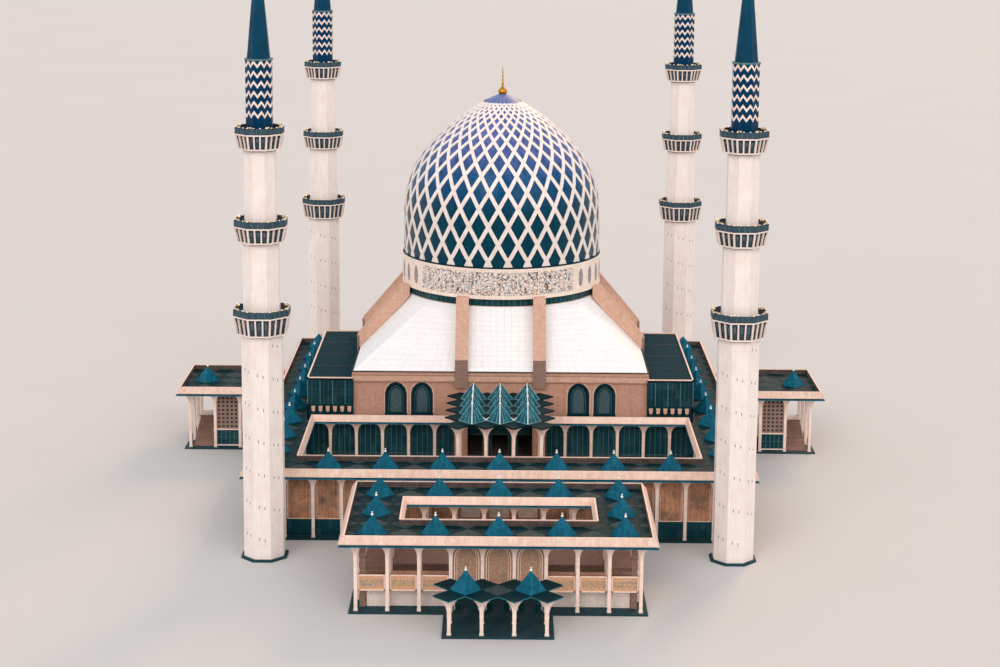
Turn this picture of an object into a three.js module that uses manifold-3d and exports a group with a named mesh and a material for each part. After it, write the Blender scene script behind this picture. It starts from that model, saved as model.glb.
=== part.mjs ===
// A domed mosque building at one tenth of its real size: a square prayer hall under a pointed
// dome, glazed wings, a colonnaded podium round an open court, an entrance portico with its
// drive-in canopy, two side pavilions and four free-standing minarets.
// Millimetres, X to the right, Y away from the entrance, Z up. The origin is at ground level
// under the centre of the dome. 100 mm here stand for one metre of the real building.
import * as THREE from 'three';
import { mergeVertices } from 'three/addons/utils/BufferGeometryUtils.js';
import Module from 'manifold-3d';

const wasm = await Module();
wasm.setup();

// Planning grid: columns stand on odd multiples of half a bay, roof pyramids on whole bays
const BAY = 673;
const HALF_BAY = BAY / 2;
const COLUMN_HALF = 52;
const ROOF_OVERHANG = 240;
const TOUCH_GAP = 0.3;
const FLOOR_EDGE = 150;

// Storey levels
const GROUND_TOP = 30;
const MAIN_FLOOR_BOTTOM = 450;
const MAIN_FLOOR_TOP = 500;
const SPRING_LEVEL = 1220;
const CAPITAL_TOP = 1530;
const BEAM_LAP = 10;
const BEAM_EDGE = 3;
const BEAM_TOP = 1570;
const DECK_TOP = 1620;
const FASCIA_TOP = 1800;

// Plan of the podium, court, portico and pavilions, as counts of half bays from the dome's axis
const PODIUM_X = 17;
const PODIUM_FRONT = -25;
const PODIUM_REAR = 13;
const COURT_X = 15;
const COURT_FRONT = -23;
const COURT_REAR = -11;
const PORTICO_X = 9;
const PORTICO_FRONT = -39;
const PORTICO_REAR = -29;
const OPENING_X = 7;
const OPENING_FRONT = -37;
const OPENING_REAR = -31;
const PAVILION_INNER = 19;
const PAVILION_OUTER = 25;
const PAVILION_Y = 3;
const CENTRE_X = 3;

// Arches: how far a column's flare runs along its row, outwards, and back to a wall
const FLARE_ALONG = 250;
const FLARE_OUT = 220;
const FLARE_BACK = 56;
const FLARE_WALL = 105;
const FLARE_STEPS = [52, 90];

// Roof edges
const FASCIA_LEAN = 110;
const FASCIA_THICKNESS = 35;
const RIM_THICKNESS = 60;
const RIM_LEAN = 60;
const PYRAMID_HALF = 330;
const PYRAMID_HEIGHT = 410;
const PYRAMID_ROW_REAR = 4240;
const PAVILION_ROOF_INNER = 6195;

// Podium walls
const WALL = 50;
const WALL_SETBACK = 110;
const WINDOW_HALF = 250;
const WINDOW_SILL = 100;
const WINDOW_HEAD = 410;
const DOORWAY_HALF = 230;
const DOORWAY_HEAD = 1180;

// Court
const PIER_INNER = 835;
const PIER_OUTER = 1165;
const SCREEN_SETBACK = 100;
const SCREEN_THICKNESS = 20;
const SCREEN_TOP = 1560;

// Prayer hall
const HALL_HALF = 3770;
const HALL_WALL = 100;
const HALL_WALL_TOP = 2880;
const HALL_LOWER_FRONT = -3560;
const CORNICE_BOTTOM = 2620;
const CORNICE_DEPTH = 32;
const HALL_WINDOWS = [2010, 2680];
const HALL_WINDOW_HALF = 280;
const HALL_WINDOW_SILL = 1780;
const HALL_WINDOW_SPRING = 2300;
const HALL_WINDOW_TOP = 2610;
const GLASS = 12;

// Skirt roof and its ribs
const EAVE_HALF = 3750;
const EAVE_SEAT = 60;
const SKIRT_THICKNESS = 60;
const SKIRT_RADIUS = 2620;
const SKIRT_INNER = 2535;
const SKIRT_TOP = 4330;
const RIB_KINK_RADIUS = 3860;
const RIB_KINK = 3210;
const RIB_FOOT = 2470;
const RIB_TOP = 4630;

// Clerestory, drum and dome
const ROUND_SIDES = 40;
const CLERESTORY_RADIUS = 2610;
const CLERESTORY_INNER = 2550;
const CLERESTORY_TOP = 4490;
const CLERESTORY_OPENINGS = 20;
const CLERESTORY_OPENING_HALF = 170;
const CLERESTORY_SILL = 4350;
const CLERESTORY_HEAD = 4475;
const RING_INNER = 2545;
const RING_OUTER = 2710;
const RING_TOP = 4530;
const DRUM_RADIUS = 2685;
const DRUM_INNER = 2560;
const DRUM_TOP = 5360;
const DOME_PROFILE = [
  [2652, 5360], [2655, 6100], [2650, 6600], [2598, 7000], [2494, 7400], [2310, 7800], [2046, 8200],
  [1655, 8600], [1187, 9000], [744, 9300], [527, 9430],
];
const DOME_INSIDE = [
  [0, 9250], [690, 9250], [1080, 9000], [1555, 8600], [1955, 8200], [2230, 7800], [2418, 7400],
  [2525, 7000], [2578, 6600], [2585, 6100], [2585, 5360],
];
const CAP_TOP = 9640;
const CAP_TOP_RADIUS = 60;
const BULB_LEVEL = 9710;
const BULB_RADIUS = 127;
const FINIAL_TOP = 10390;

// Wings beside the prayer hall
const WING_OUTER = 4950;
const WING_FRONT = -3860;
const WING_REAR = 1440;
const WING_ROOF = 2680;
const WING_TOP = 2740;
const WING_WALL = 40;
const WING_STRIPS = 4;
const WING_SILL = 1720;
const WING_HEAD = 2660;

// Court canopy and entrance canopy
const CANOPY_THICKNESS = 30;
const CANOPY_REACH = 210;
const COURT_CANOPY_FRONT = -21;
const COURT_CANOPY_REAR = -13;
const COURT_CANOPY_PLANE = 2390;
const COURT_CANOPY_CROWN = 2340;
const COURT_CANOPY_SPRING = 2060;
const COURT_CANOPY_PEAK = 2810;
const ENTRANCE_CANOPY_FRONT = -43;
const ENTRANCE_CANOPY_REAR = -41;
const ENTRANCE_CANOPY_PLANE = 850;
const ENTRANCE_CANOPY_CROWN = 760;
const ENTRANCE_CANOPY_SPRING = 420;
const ENTRANCE_CANOPY_PEAK = 1305;

// Inside the portico
const SCREEN_FACE = -13060;
const SCREEN_DEPTH = 40;
const ARCH_HALF = 240;
const ARCH_SPRING = 1180;
const ARCH_TOP = 1460;
const SCREEN_PLATE = 14;
const PORTICO_SCREEN_TOP = 1510;
const PORTICO_DOOR_HALF = 110;
const PORTICO_DOOR_HEAD = 430;
const PARAPET_TOP = 810;
const PARAPET_THICKNESS = 30;
const BALCONY_REAR = -12512;
const LOWER_WALL_FACE = -12830;
const STAIR_INNER = 2420;
const STAIR_OUTER = 2960;
const STAIR_FOOT = -12850;
const STAIR_HEAD = -11500;
const STAIR_STEPS = 8;
const TERRACE_CROSS_REAR = -10500;
const TERRACE_HALF = 1160;

// Minarets: half widths are across the flats of the eight-sided shafts
const MINARET_X = 5370;
const MINARET_FRONT = -9610;
const MINARET_REAR = 5850;
const APEX = 14230;
const PLINTH_HALF = 570;
const PLINTH_TOP = 100;
const STAGE_HALF = [452, 399, 346];
const SHAFT_WALL = 60;
const GALLERY_FOOT = [5250, 7350, 9440];
const GALLERY_FLOOR = [5680, 7710, 9790];
const GALLERY_RAIL = [5850, 7880, 9950];
const GALLERY_FOOT_HALF = [548, 500, 452];
const GALLERY_LIP_HALF = [630, 586, 538];
const GALLERY_WALL = 25;
const GALLERY_CONE = 40;
const CROWN_HALF = 288;
const CROWN_INNER = 230;
const CROWN_TOP = 11400;
const CROWN_LIP_HALF = 303;
const CROWN_LIP_TOP = 11440;
const SPIRE_HALF = 250;
const SLIT_HALF = 55;
const SLIT_HEIGHT = 170;
const SLIT_LEVELS = [900, 1670, 2440, 3210, 3980, 4750, 6060, 6830, 8090, 8860];

// Finishes
const finish = (color, roughness, metalness = 0) => ({ color, roughness, metalness });
const CREAM_STONE = finish(0xe8c8b0, 0.75);
const BROWN_STONE = finish(0xb08a72, 0.8);
const WHITE_PANEL = finish(0xf3ece6, 0.5);
const TEAL_METAL = finish(0x115a6b, 0.4, 0.6);
const DARK_ROOF = finish(0x12343b, 0.6);
const DARK_GLASS = finish(0x0f3038, 0.15);
const PALE_FLOOR = finish(0xcfc4b8, 0.8);
const WHITE_TILE = finish(0xefe2da, 0.55);
const GOLD = finish(0xd9a441, 0.3, 1);

const group = new THREE.Group();

// Turn a closed geometry into a solid, whichever way its faces wind
function solid(geometry) {
  const bare = geometry.clone();
  bare.deleteAttribute('normal');
  bare.deleteAttribute('uv');
  const merged = mergeVertices(bare, 1e-3);
  const points = merged.attributes.position.array;
  const index = merged.index.array;
  const corner = (i) => new THREE.Vector3(points[3 * i], points[3 * i + 1], points[3 * i + 2]);
  const faces = [];
  let volume = 0;
  for (let f = 0; f < index.length; f += 3) {
    const [a, b, c] = [index[f], index[f + 1], index[f + 2]];
    if (a === b || b === c || c === a) continue;
    volume += corner(a).dot(corner(b).cross(corner(c)));
    faces.push([a, b, c]);
  }
  const outward = faces.flatMap(([a, b, c]) => (volume < 0 ? [a, c, b] : [a, b, c]));
  const triVerts = new Uint32Array(outward);
  const vertProperties = new Float32Array(points);
  return new wasm.Manifold(new wasm.Mesh({ numProp: 3, vertProperties, triVerts }));
}

function join(pieces) {
  return pieces.reduce((whole, piece) => whole.add(piece));
}

function cut(whole, tools) {
  return tools.reduce((left, tool) => left.subtract(tool), whole);
}

// Add one named sub-part with its finish
function addPart(name, body, look) {
  const mesh = body.getMesh();
  const geometry = new THREE.BufferGeometry();
  geometry.setAttribute('position', new THREE.BufferAttribute(mesh.vertProperties, 3));
  geometry.setIndex(new THREE.BufferAttribute(mesh.triVerts, 1));
  geometry.computeVertexNormals();
  const part = new THREE.Mesh(geometry, new THREE.MeshStandardMaterial(look));
  part.name = name;
  group.add(part);
}

function box(x0, x1, y0, y1, z0, z1) {
  const geometry = new THREE.BoxGeometry(Math.abs(x1 - x0), Math.abs(y1 - y0), Math.abs(z1 - z0));
  geometry.translate((x0 + x1) / 2, (y0 + y1) / 2, (z0 + z1) / 2);
  return solid(geometry);
}

function extruded(outline, depth) {
  const shape = new THREE.Shape(outline.map(([a, b]) => new THREE.Vector2(a, b)));
  return new THREE.ExtrudeGeometry(shape, { depth, bevelEnabled: false });
}

// Plan outline [x, y] raised from z0 to z1
function slab(outline, z0, z1) {
  const geometry = extruded(outline, z1 - z0);
  geometry.translate(0, 0, z0);
  return solid(geometry);
}

// Section outline [y, z] drawn out along X from x0 to x1
function drawnAlongX(outline, x0, x1) {
  const geometry = extruded(outline, x1 - x0);
  geometry.applyMatrix4(new THREE.Matrix4().set(0, 0, 1, x0, 1, 0, 0, 0, 0, 1, 0, 0, 0, 0, 0, 1));
  return solid(geometry);
}

// Front outline [x, z] drawn out along Y from y0 to y1
function drawnAlongY(outline, y0, y1) {
  const geometry = extruded(outline, y1 - y0);
  geometry.applyMatrix4(new THREE.Matrix4().set(1, 0, 0, 0, 0, 0, -1, y1, 0, 1, 0, 0, 0, 0, 0, 1));
  return solid(geometry);
}

// Profile [radius, z] turned about an upright axis; startAngle 0 puts a corner on the X side
function turned(profile, sides, x = 0, y = 0, startAngle = 0) {
  const points = profile.map(([r, z]) => new THREE.Vector2(r, z));
  const geometry = new THREE.LatheGeometry(points, sides);
  geometry.rotateX(Math.PI / 2);
  geometry.rotateZ(startAngle);
  geometry.translate(x, y, 0);
  return solid(geometry);
}

// Quarter turns round the dome's axis
function quarterTurned(body, quarters) {
  return quarters === 0 ? body : body.rotate([0, 0, 90 * quarters]);
}

// Rings of equal counts of points [x, y, z] skinned in turn, closed to a tube or capped at both ends
function lofted(rings, tube) {
  const count = rings[0].length;
  const index = [];
  const at = (ring, step) => (ring % rings.length) * count + (step % count);
  const bands = tube ? rings.length : rings.length - 1;
  for (let ring = 0; ring < bands; ring += 1) {
    for (let step = 0; step < count; step += 1) {
      index.push(at(ring, step), at(ring, step + 1), at(ring + 1, step + 1));
      index.push(at(ring, step), at(ring + 1, step + 1), at(ring + 1, step));
    }
  }
  for (let step = 1; !tube && step < count - 1; step += 1) {
    index.push(at(0, 0), at(0, step + 1), at(0, step));
    index.push(at(bands, 0), at(bands, step), at(bands, step + 1));
  }
  const geometry = new THREE.BufferGeometry();
  geometry.setAttribute('position', new THREE.BufferAttribute(new Float32Array(rings.flat(2)), 3));
  geometry.setIndex(index);
  return solid(geometry);
}

function rectangleRing(x0, x1, y0, y1, z) {
  return [[x0, y0, z], [x1, y0, z], [x1, y1, z], [x0, y1, z]];
}

// Band round a rectangle; its foot stands out by lean, or further in for a negative lean
function leaningBand([x0, x1, y0, y1], lean, thickness, bottom, top) {
  const ring = (grow, z) => rectangleRing(x0 - grow, x1 + grow, y0 - grow, y1 + grow, z);
  const inner = [ring(-thickness, top), ring(lean - thickness, bottom)];
  return lofted([ring(lean, bottom), ring(0, top), ...inner], true);
}

function oddSteps(from, to) {
  const steps = [];
  for (let step = from; step <= to; step += 2) steps.push(step * HALF_BAY);
  return steps;
}

const across = (from, to, y) => oddSteps(from, to).map((x) => [x, y * HALF_BAY]);
const along = (x, from, to) => oddSteps(from, to).map((y) => [x * HALF_BAY, y]);
const mirrored = (places) => [...places, ...places.filter(([x]) => x !== 0).map(([x, y]) => [-x, y])];

// A slender square column that flares into arches; reach is [left, right, front, back]
function flaredColumn([x, y], foot, spring, top, reach) {
  const ring = (share, z) => {
    const [left, right, front, back] = reach.map((far) => COLUMN_HALF + (far - COLUMN_HALF) * share);
    return rectangleRing(x - left, x + right, y - front, y + back, z);
  };
  const flare = FLARE_STEPS.map((degrees) => {
    const angle = THREE.MathUtils.degToRad(degrees);
    return ring(1 - Math.cos(angle), spring + (top - spring) * Math.sin(angle));
  });
  return lofted([ring(0, foot), ring(0, spring), ...flare], false);
}

// A straight row of flared columns under one beam
function columnRow(places, foot, reach) {
  const xs = places.map(([x]) => x);
  const ys = places.map(([, y]) => y);
  const [left, right, front, back] = reach.map((far) => far + BEAM_EDGE);
  const beam = box(Math.min(...xs) - left, Math.max(...xs) + right, Math.min(...ys) - front,
    Math.max(...ys) + back, CAPITAL_TOP - BEAM_LAP, BEAM_TOP);
  const columns = places.map((place) => flaredColumn(place, foot, SPRING_LEVEL, CAPITAL_TOP, reach));
  return join([beam, ...columns]);
}

// Beam that ties two rows along one column line
function linkBeam(x, front, rear) {
  const half = FLARE_OUT + BEAM_EDGE;
  return box(x * HALF_BAY - half, x * HALF_BAY + half, front * HALF_BAY, rear * HALF_BAY,
    CAPITAL_TOP - BEAM_LAP, BEAM_TOP);
}

// Four-sided roof pyramids with corners towards the front, the back and the sides
function pyramids(places, level, height) {
  const profile = [
    [0, level - BEAM_LAP], [PYRAMID_HALF, level - BEAM_LAP], [PYRAMID_HALF, level], [0, level + height],
  ];
  return places.map(([x, y]) => turned(profile, 4, x, y));
}

// Ground slab under everything that stands on it
const podiumX = PODIUM_X * HALF_BAY;
const podiumFront = PODIUM_FRONT * HALF_BAY;
const podiumRear = PODIUM_REAR * HALF_BAY;
const porticoX = PORTICO_X * HALF_BAY;
const porticoFront = PORTICO_FRONT * HALF_BAY;
const porticoRear = PORTICO_REAR * HALF_BAY;
const pavilionX = PAVILION_OUTER * HALF_BAY;
const pavilionY = PAVILION_Y * HALF_BAY;
const groundHalf = [
  [CENTRE_X * HALF_BAY + FLOOR_EDGE, ENTRANCE_CANOPY_FRONT * HALF_BAY - FLOOR_EDGE],
  [CENTRE_X * HALF_BAY + FLOOR_EDGE, porticoFront - FLOOR_EDGE],
  [porticoX + FLOOR_EDGE, porticoFront - FLOOR_EDGE],
  [porticoX + FLOOR_EDGE, podiumFront - FLOOR_EDGE], [podiumX + FLOOR_EDGE, podiumFront - FLOOR_EDGE],
  [podiumX + FLOOR_EDGE, -pavilionY - FLOOR_EDGE], [pavilionX + FLOOR_EDGE, -pavilionY - FLOOR_EDGE],
  [pavilionX + FLOOR_EDGE, pavilionY + FLOOR_EDGE], [podiumX + FLOOR_EDGE, pavilionY + FLOOR_EDGE],
  [podiumX + FLOOR_EDGE, podiumRear + FLOOR_EDGE],
];
const groundMirrored = groundHalf.map(([x, y]) => [-x, y]).reverse();
addPart('ground_floor', slab([...groundHalf, ...groundMirrored], 0, GROUND_TOP), PALE_FLOOR);

// Podium walls behind the colonnade, with the windows of the ground storey
const wallX = podiumX - WALL_SETBACK;
const wallFront = podiumFront + WALL_SETBACK;
const wallRear = podiumRear - WALL_SETBACK;

function podiumWallAcross(outer, inner, doorways) {
  const isDoorway = (x) => doorways.some((door) => Math.abs(door - x) < 1);
  const windows = oddSteps(1 - PODIUM_X, PODIUM_X - 1).filter((x) => !isDoorway(x));
  const face = Math.min(outer, inner);
  const rear = Math.max(outer, inner);
  const hole = (x, half, sill, head) => box(x - half, x + half, face - WALL, rear + WALL, sill, head);
  return cut(box(-wallX, wallX, face, rear, GROUND_TOP, BEAM_TOP), [
    ...windows.map((x) => hole(x, WINDOW_HALF, WINDOW_SILL, WINDOW_HEAD)),
    ...doorways.map((x) => hole(x, DOORWAY_HALF, MAIN_FLOOR_TOP, DOORWAY_HEAD)),
  ]);
}

function podiumWallAlong(outer, inner) {
  const windows = oddSteps(PODIUM_FRONT + 1, PODIUM_REAR - 1);
  const face = Math.min(outer, inner);
  const far = Math.max(outer, inner);
  const plate = box(face, far, wallFront + WALL + TOUCH_GAP, wallRear - WALL - TOUCH_GAP,
    GROUND_TOP, BEAM_TOP);
  return cut(plate, windows.map((y) => box(face - WALL, far + WALL, y - WINDOW_HALF, y + WINDOW_HALF,
    WINDOW_SILL, WINDOW_HEAD)));
}

addPart('podium_wall_front', podiumWallAcross(wallFront, wallFront + WALL, [-BAY, 0, BAY]), BROWN_STONE);
addPart('podium_wall_rear', podiumWallAcross(wallRear, wallRear - WALL, []), BROWN_STONE);
addPart('podium_wall_left', podiumWallAlong(-wallX, -wallX + WALL), BROWN_STONE);
addPart('podium_wall_right', podiumWallAlong(wallX, wallX - WALL), BROWN_STONE);

// Main floor over the ground storey, on piers
const floorX = wallX - WALL - TOUCH_GAP;
const piers = [-13, -7, 7, 13].flatMap((x) => [-21, -11, 11].map((y) => [x * HALF_BAY, y * HALF_BAY]));
addPart('main_floor', join([
  box(-floorX, floorX, wallFront + WALL + TOUCH_GAP, wallRear - WALL - TOUCH_GAP,
    MAIN_FLOOR_BOTTOM, MAIN_FLOOR_TOP),
  ...piers.map(([x, y]) => box(x - COLUMN_HALF, x + COLUMN_HALF, y - COLUMN_HALF, y + COLUMN_HALF,
    GROUND_TOP, MAIN_FLOOR_BOTTOM + BEAM_LAP)),
]), PALE_FLOOR);

// Podium colonnades
const frontReach = [FLARE_ALONG, FLARE_ALONG, FLARE_OUT, FLARE_WALL];
const rearReach = [FLARE_ALONG, FLARE_ALONG, FLARE_WALL, FLARE_OUT];
const leftReach = [FLARE_OUT, FLARE_WALL, FLARE_ALONG, FLARE_ALONG];
const rightReach = [FLARE_WALL, FLARE_OUT, FLARE_ALONG, FLARE_ALONG];
const podiumRow = (name, places, reach) => addPart(name, columnRow(places, GROUND_TOP, reach), CREAM_STONE);
podiumRow('podium_columns_front', across(-PODIUM_X, PODIUM_X, PODIUM_FRONT), frontReach);
podiumRow('podium_columns_rear', across(-PODIUM_X, PODIUM_X, PODIUM_REAR), rearReach);
podiumRow('podium_columns_left', along(-PODIUM_X, PODIUM_FRONT + 2, PODIUM_REAR - 2), leftReach);
podiumRow('podium_columns_right', along(PODIUM_X, PODIUM_FRONT + 2, PODIUM_REAR - 2), rightReach);

// Podium roof: decks and pyramids inside an outer band, round the court's rim and the hall
const roofX = podiumX + ROOF_OVERHANG;
const roofFront = podiumFront - ROOF_OVERHANG;
const roofRear = podiumRear + ROOF_OVERHANG;
const rimX = COURT_X * HALF_BAY - ROOF_OVERHANG;
const rimFront = COURT_FRONT * HALF_BAY + ROOF_OVERHANG;
const rimRear = COURT_REAR * HALF_BAY - ROOF_OVERHANG;
const hallEdge = HALL_HALF + TOUCH_GAP;

// Deck between an outer band and, where there is an opening, the rim round it
function bandedDeck([x0, x1, y0, y1], opening) {
  const grow = FASCIA_LEAN - FASCIA_THICKNESS;
  const band = leaningBand([x0, x1, y0, y1], FASCIA_LEAN, FASCIA_THICKNESS, BEAM_TOP, FASCIA_TOP);
  const deck = box(x0 - grow, x1 + grow, y0 - grow, y1 + grow, BEAM_TOP, DECK_TOP);
  const filled = deck.intersect(taper([x0, x1, y0, y1])).add(band);
  if (!opening) return filled;
  const rim = leaningBand(opening, -RIM_LEAN, -RIM_THICKNESS, BEAM_TOP, FASCIA_TOP);
  return cut(filled, [box(...opening, 0, APEX)]).add(rim);
}

// Everything within the outer face of a leaning band
function taper([x0, x1, y0, y1]) {
  const ring = (grow, z) => rectangleRing(x0 - grow, x1 + grow, y0 - grow, y1 + grow, z);
  return lofted([ring(FASCIA_LEAN, BEAM_TOP), ring(0, FASCIA_TOP)], false);
}

const podiumRoof = cut(bandedDeck([-roofX, roofX, roofFront, roofRear], [-rimX, rimX, rimFront, rimRear]),
  [box(-hallEdge, hallEdge, -hallEdge, hallEdge, 0, APEX)]);
const farOut = roofX + 2 * FASCIA_LEAN;
const farFront = roofFront - 2 * FASCIA_LEAN;
const farRear = roofRear + 2 * FASCIA_LEAN;
const seamFront = rimFront + RIM_LEAN + 10;
const seamRear = rimRear - RIM_LEAN - 10;
const seamX = rimX - RIM_LEAN - 10;
const part = (x0, x1, y0, y1) => podiumRoof.intersect(box(x0, x1, y0, y1, 0, 2 * FASCIA_TOP));
const frontRow = [0, 2, 4, 6, 8].map((step) => [step * BAY, -12 * BAY]);
const sideRow = [-10, -8, -6, -4, -2, 0, 2, 4, 6].map((step) => [8 * BAY, step * BAY]);
const rearRow = [0, 2, 4].map((step) => [step * BAY, PYRAMID_ROW_REAR]);
const cornerPlace = [6.6 * BAY, PYRAMID_ROW_REAR];
addPart('podium_roof_front', join([
  part(-farOut, farOut, farFront, seamFront),
  ...pyramids(mirrored(frontRow), DECK_TOP, PYRAMID_HEIGHT),
]), DARK_ROOF);
const leftDeck = part(-farOut, -hallEdge, seamFront + TOUCH_GAP, farRear)
  .subtract(box(-seamX - TOUCH_GAP, 0, seamRear - WALL, -HALL_HALF, 0, APEX));
const leftPyramids = [...sideRow, cornerPlace].map(([x, y]) => [-x, y]);
const leftRoof = join([leftDeck, ...pyramids(leftPyramids, DECK_TOP, PYRAMID_HEIGHT)]);
addPart('podium_roof_left', leftRoof, DARK_ROOF);
addPart('podium_roof_right', leftRoof.mirror([1, 0, 0]), DARK_ROOF);
addPart('podium_roof_rear', join([
  part(-HALL_HALF, HALL_HALF, HALL_HALF, farRear),
  ...pyramids(mirrored(rearRow), DECK_TOP, PYRAMID_HEIGHT),
]), DARK_ROOF);
addPart('court_rear_fascia', part(-seamX, seamX, seamRear, -hallEdge), CREAM_STONE);

// Court arcades: stone piers and columns before the prayer hall, columns on the other sides
const courtRear = COURT_REAR * HALF_BAY;
const hallRow = mirrored(across(5, 13, COURT_REAR)).concat(across(-1, 1, COURT_REAR));
const hallReach = [FLARE_ALONG, FLARE_ALONG, ROOF_OVERHANG, 70];
addPart('court_arcade_rear', join([
  columnRow(hallRow, MAIN_FLOOR_TOP, hallReach),
  ...[-1, 1].map((side) => box(side * PIER_INNER, side * PIER_OUTER, courtRear - ROOF_OVERHANG,
    courtRear + 70, MAIN_FLOOR_TOP, BEAM_TOP)),
]), CREAM_STONE);
const arcadeReach = [FLARE_ALONG, FLARE_ALONG, FLARE_OUT, FLARE_OUT];
const sideReach = [FLARE_OUT, FLARE_OUT, FLARE_ALONG, FLARE_ALONG];
addPart('court_arcade_front', columnRow(across(-COURT_X, COURT_X, COURT_FRONT), MAIN_FLOOR_TOP, arcadeReach),
  CREAM_STONE);
const courtSideRow = columnRow(along(COURT_X, COURT_FRONT + 2, COURT_REAR), MAIN_FLOOR_TOP, sideReach);
addPart('court_arcade_right', courtSideRow, CREAM_STONE);
addPart('court_arcade_left', courtSideRow.mirror([1, 0, 0]), CREAM_STONE);

// Glazed screen behind the arcade, with doorways in its middle bays
const screenX = COURT_X * HALF_BAY - FLARE_OUT - 10;
const screenY = courtRear + SCREEN_SETBACK;
addPart('court_glazing', cut(
  box(-screenX, screenX, screenY, screenY + SCREEN_THICKNESS, MAIN_FLOOR_TOP, SCREEN_TOP),
  [-BAY, 0, BAY].map((x) => box(x - DOORWAY_HALF, x + DOORWAY_HALF, screenY - WALL, screenY + WALL,
    MAIN_FLOOR_TOP - WALL, DOORWAY_HEAD)),
), DARK_GLASS);

// Prayer hall walls with pointed windows; the front wall stands on the court's arcade
function pointedOutline(centre, half, sill, spring, top) {
  const rise = top - spring;
  const radius = (half ** 2 + rise ** 2) / (2 * half);
  const angles = [0, 1 / 3, 2 / 3].map((share) => share * Math.asin(rise / radius));
  const right = angles.map((angle) => (
    [centre + half - radius + radius * Math.cos(angle), spring + radius * Math.sin(angle)]));
  const left = right.map(([x, z]) => [2 * centre - x, z]).reverse();
  return [[centre - half, sill], [centre + half, sill], ...right, [centre, top], ...left];
}

const hallInner = HALL_HALF - HALL_WALL;
const hallWindowTools = HALL_WINDOWS.flatMap((centre) => [-centre, centre]).map((centre) => drawnAlongY(
  pointedOutline(centre, HALL_WINDOW_HALF, HALL_WINDOW_SILL, HALL_WINDOW_SPRING, HALL_WINDOW_TOP),
  -HALL_HALF - WALL, -hallInner + WALL));

function hallWall(pieces, corniceHalf) {
  return cut(join([
    ...pieces,
    box(-corniceHalf, corniceHalf, -HALL_HALF - CORNICE_DEPTH, -hallInner, CORNICE_BOTTOM, HALL_WALL_TOP),
  ]), hallWindowTools);
}

const sideHalf = hallInner - TOUCH_GAP;
const frontCornice = HALL_HALF + CORNICE_DEPTH;
const cornerRooms = [-1, 1].map((side) => (
  box(side * (HALL_HALF + TOUCH_GAP), side * 2 * HALL_HALF, -hallInner, 0, 0, APEX)));
const endWall = (foot) => cut(hallWall([
  box(-HALL_HALF, HALL_HALF, -HALL_HALF, -hallInner, foot, HALL_WALL_TOP),
], frontCornice), cornerRooms);
const sideWall = (frontSide) => hallWall([
  box(-sideHalf, sideHalf, -HALL_HALF, -hallInner, BEAM_TOP + 1, HALL_WALL_TOP),
  frontSide < 0 ? box(HALL_LOWER_FRONT, sideHalf, -HALL_HALF, -hallInner, MAIN_FLOOR_TOP, BEAM_TOP + 1)
    : box(-sideHalf, -HALL_LOWER_FRONT, -HALL_HALF, -hallInner, MAIN_FLOOR_TOP, BEAM_TOP + 1),
], sideHalf);
addPart('hall_wall_front', endWall(BEAM_TOP), BROWN_STONE);
addPart('hall_wall_rear', quarterTurned(endWall(MAIN_FLOOR_TOP), 2), BROWN_STONE);
addPart('hall_wall_right', quarterTurned(sideWall(-1), 1), BROWN_STONE);
addPart('hall_wall_left', quarterTurned(sideWall(1), 3), BROWN_STONE);

// Sheets of glass against the inner faces of the hall's walls
addPart('hall_window_glass', leaningBand([-hallInner, hallInner, -hallInner, hallInner], 0, GLASS,
  HALL_WINDOW_SILL - GLASS, HALL_WINDOW_TOP + GLASS), DARK_GLASS);

// Skirt roof: a thin shell that runs from the square eave up to the round clerestory
function eaveRing(half, z) {
  return Array.from({ length: ROUND_SIDES }, (_, step) => {
    const angle = (step / ROUND_SIDES) * 2 * Math.PI;
    const far = half / Math.max(Math.abs(Math.cos(angle)), Math.abs(Math.sin(angle)));
    return [far * Math.cos(angle), far * Math.sin(angle), z];
  });
}

function roundRing(radius, z) {
  return Array.from({ length: ROUND_SIDES }, (_, step) => {
    const angle = (step / ROUND_SIDES) * 2 * Math.PI;
    return [radius * Math.cos(angle), radius * Math.sin(angle), z];
  });
}

addPart('skirt_roof', lofted([
  eaveRing(EAVE_HALF, HALL_WALL_TOP), eaveRing(EAVE_HALF, HALL_WALL_TOP + SKIRT_THICKNESS),
  roundRing(SKIRT_RADIUS, SKIRT_TOP), roundRing(SKIRT_INNER, SKIRT_TOP),
  roundRing(SKIRT_INNER, SKIRT_TOP - SKIRT_THICKNESS), eaveRing(EAVE_HALF - EAVE_SEAT, HALL_WALL_TOP),
], true), WHITE_PANEL);

// Eight stone ribs, two on each slope, tied by the ring that carries the drum
function ribPair(quarter) {
  const foot = quarter % 2 === 0 ? RIB_FOOT : WING_TOP + TOUCH_GAP;
  const inner = Math.sqrt(RING_INNER ** 2 - PIER_OUTER ** 2);
  const outline = [
    [-inner, foot], [-RIB_KINK_RADIUS, foot], [-RIB_KINK_RADIUS, RIB_KINK],
    [-DRUM_RADIUS, RIB_TOP], [-inner, RIB_TOP],
  ];
  return join([
    drawnAlongX(outline, -PIER_OUTER, -PIER_INNER),
    drawnAlongX(outline, PIER_INNER, PIER_OUTER),
  ]);
}

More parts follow.
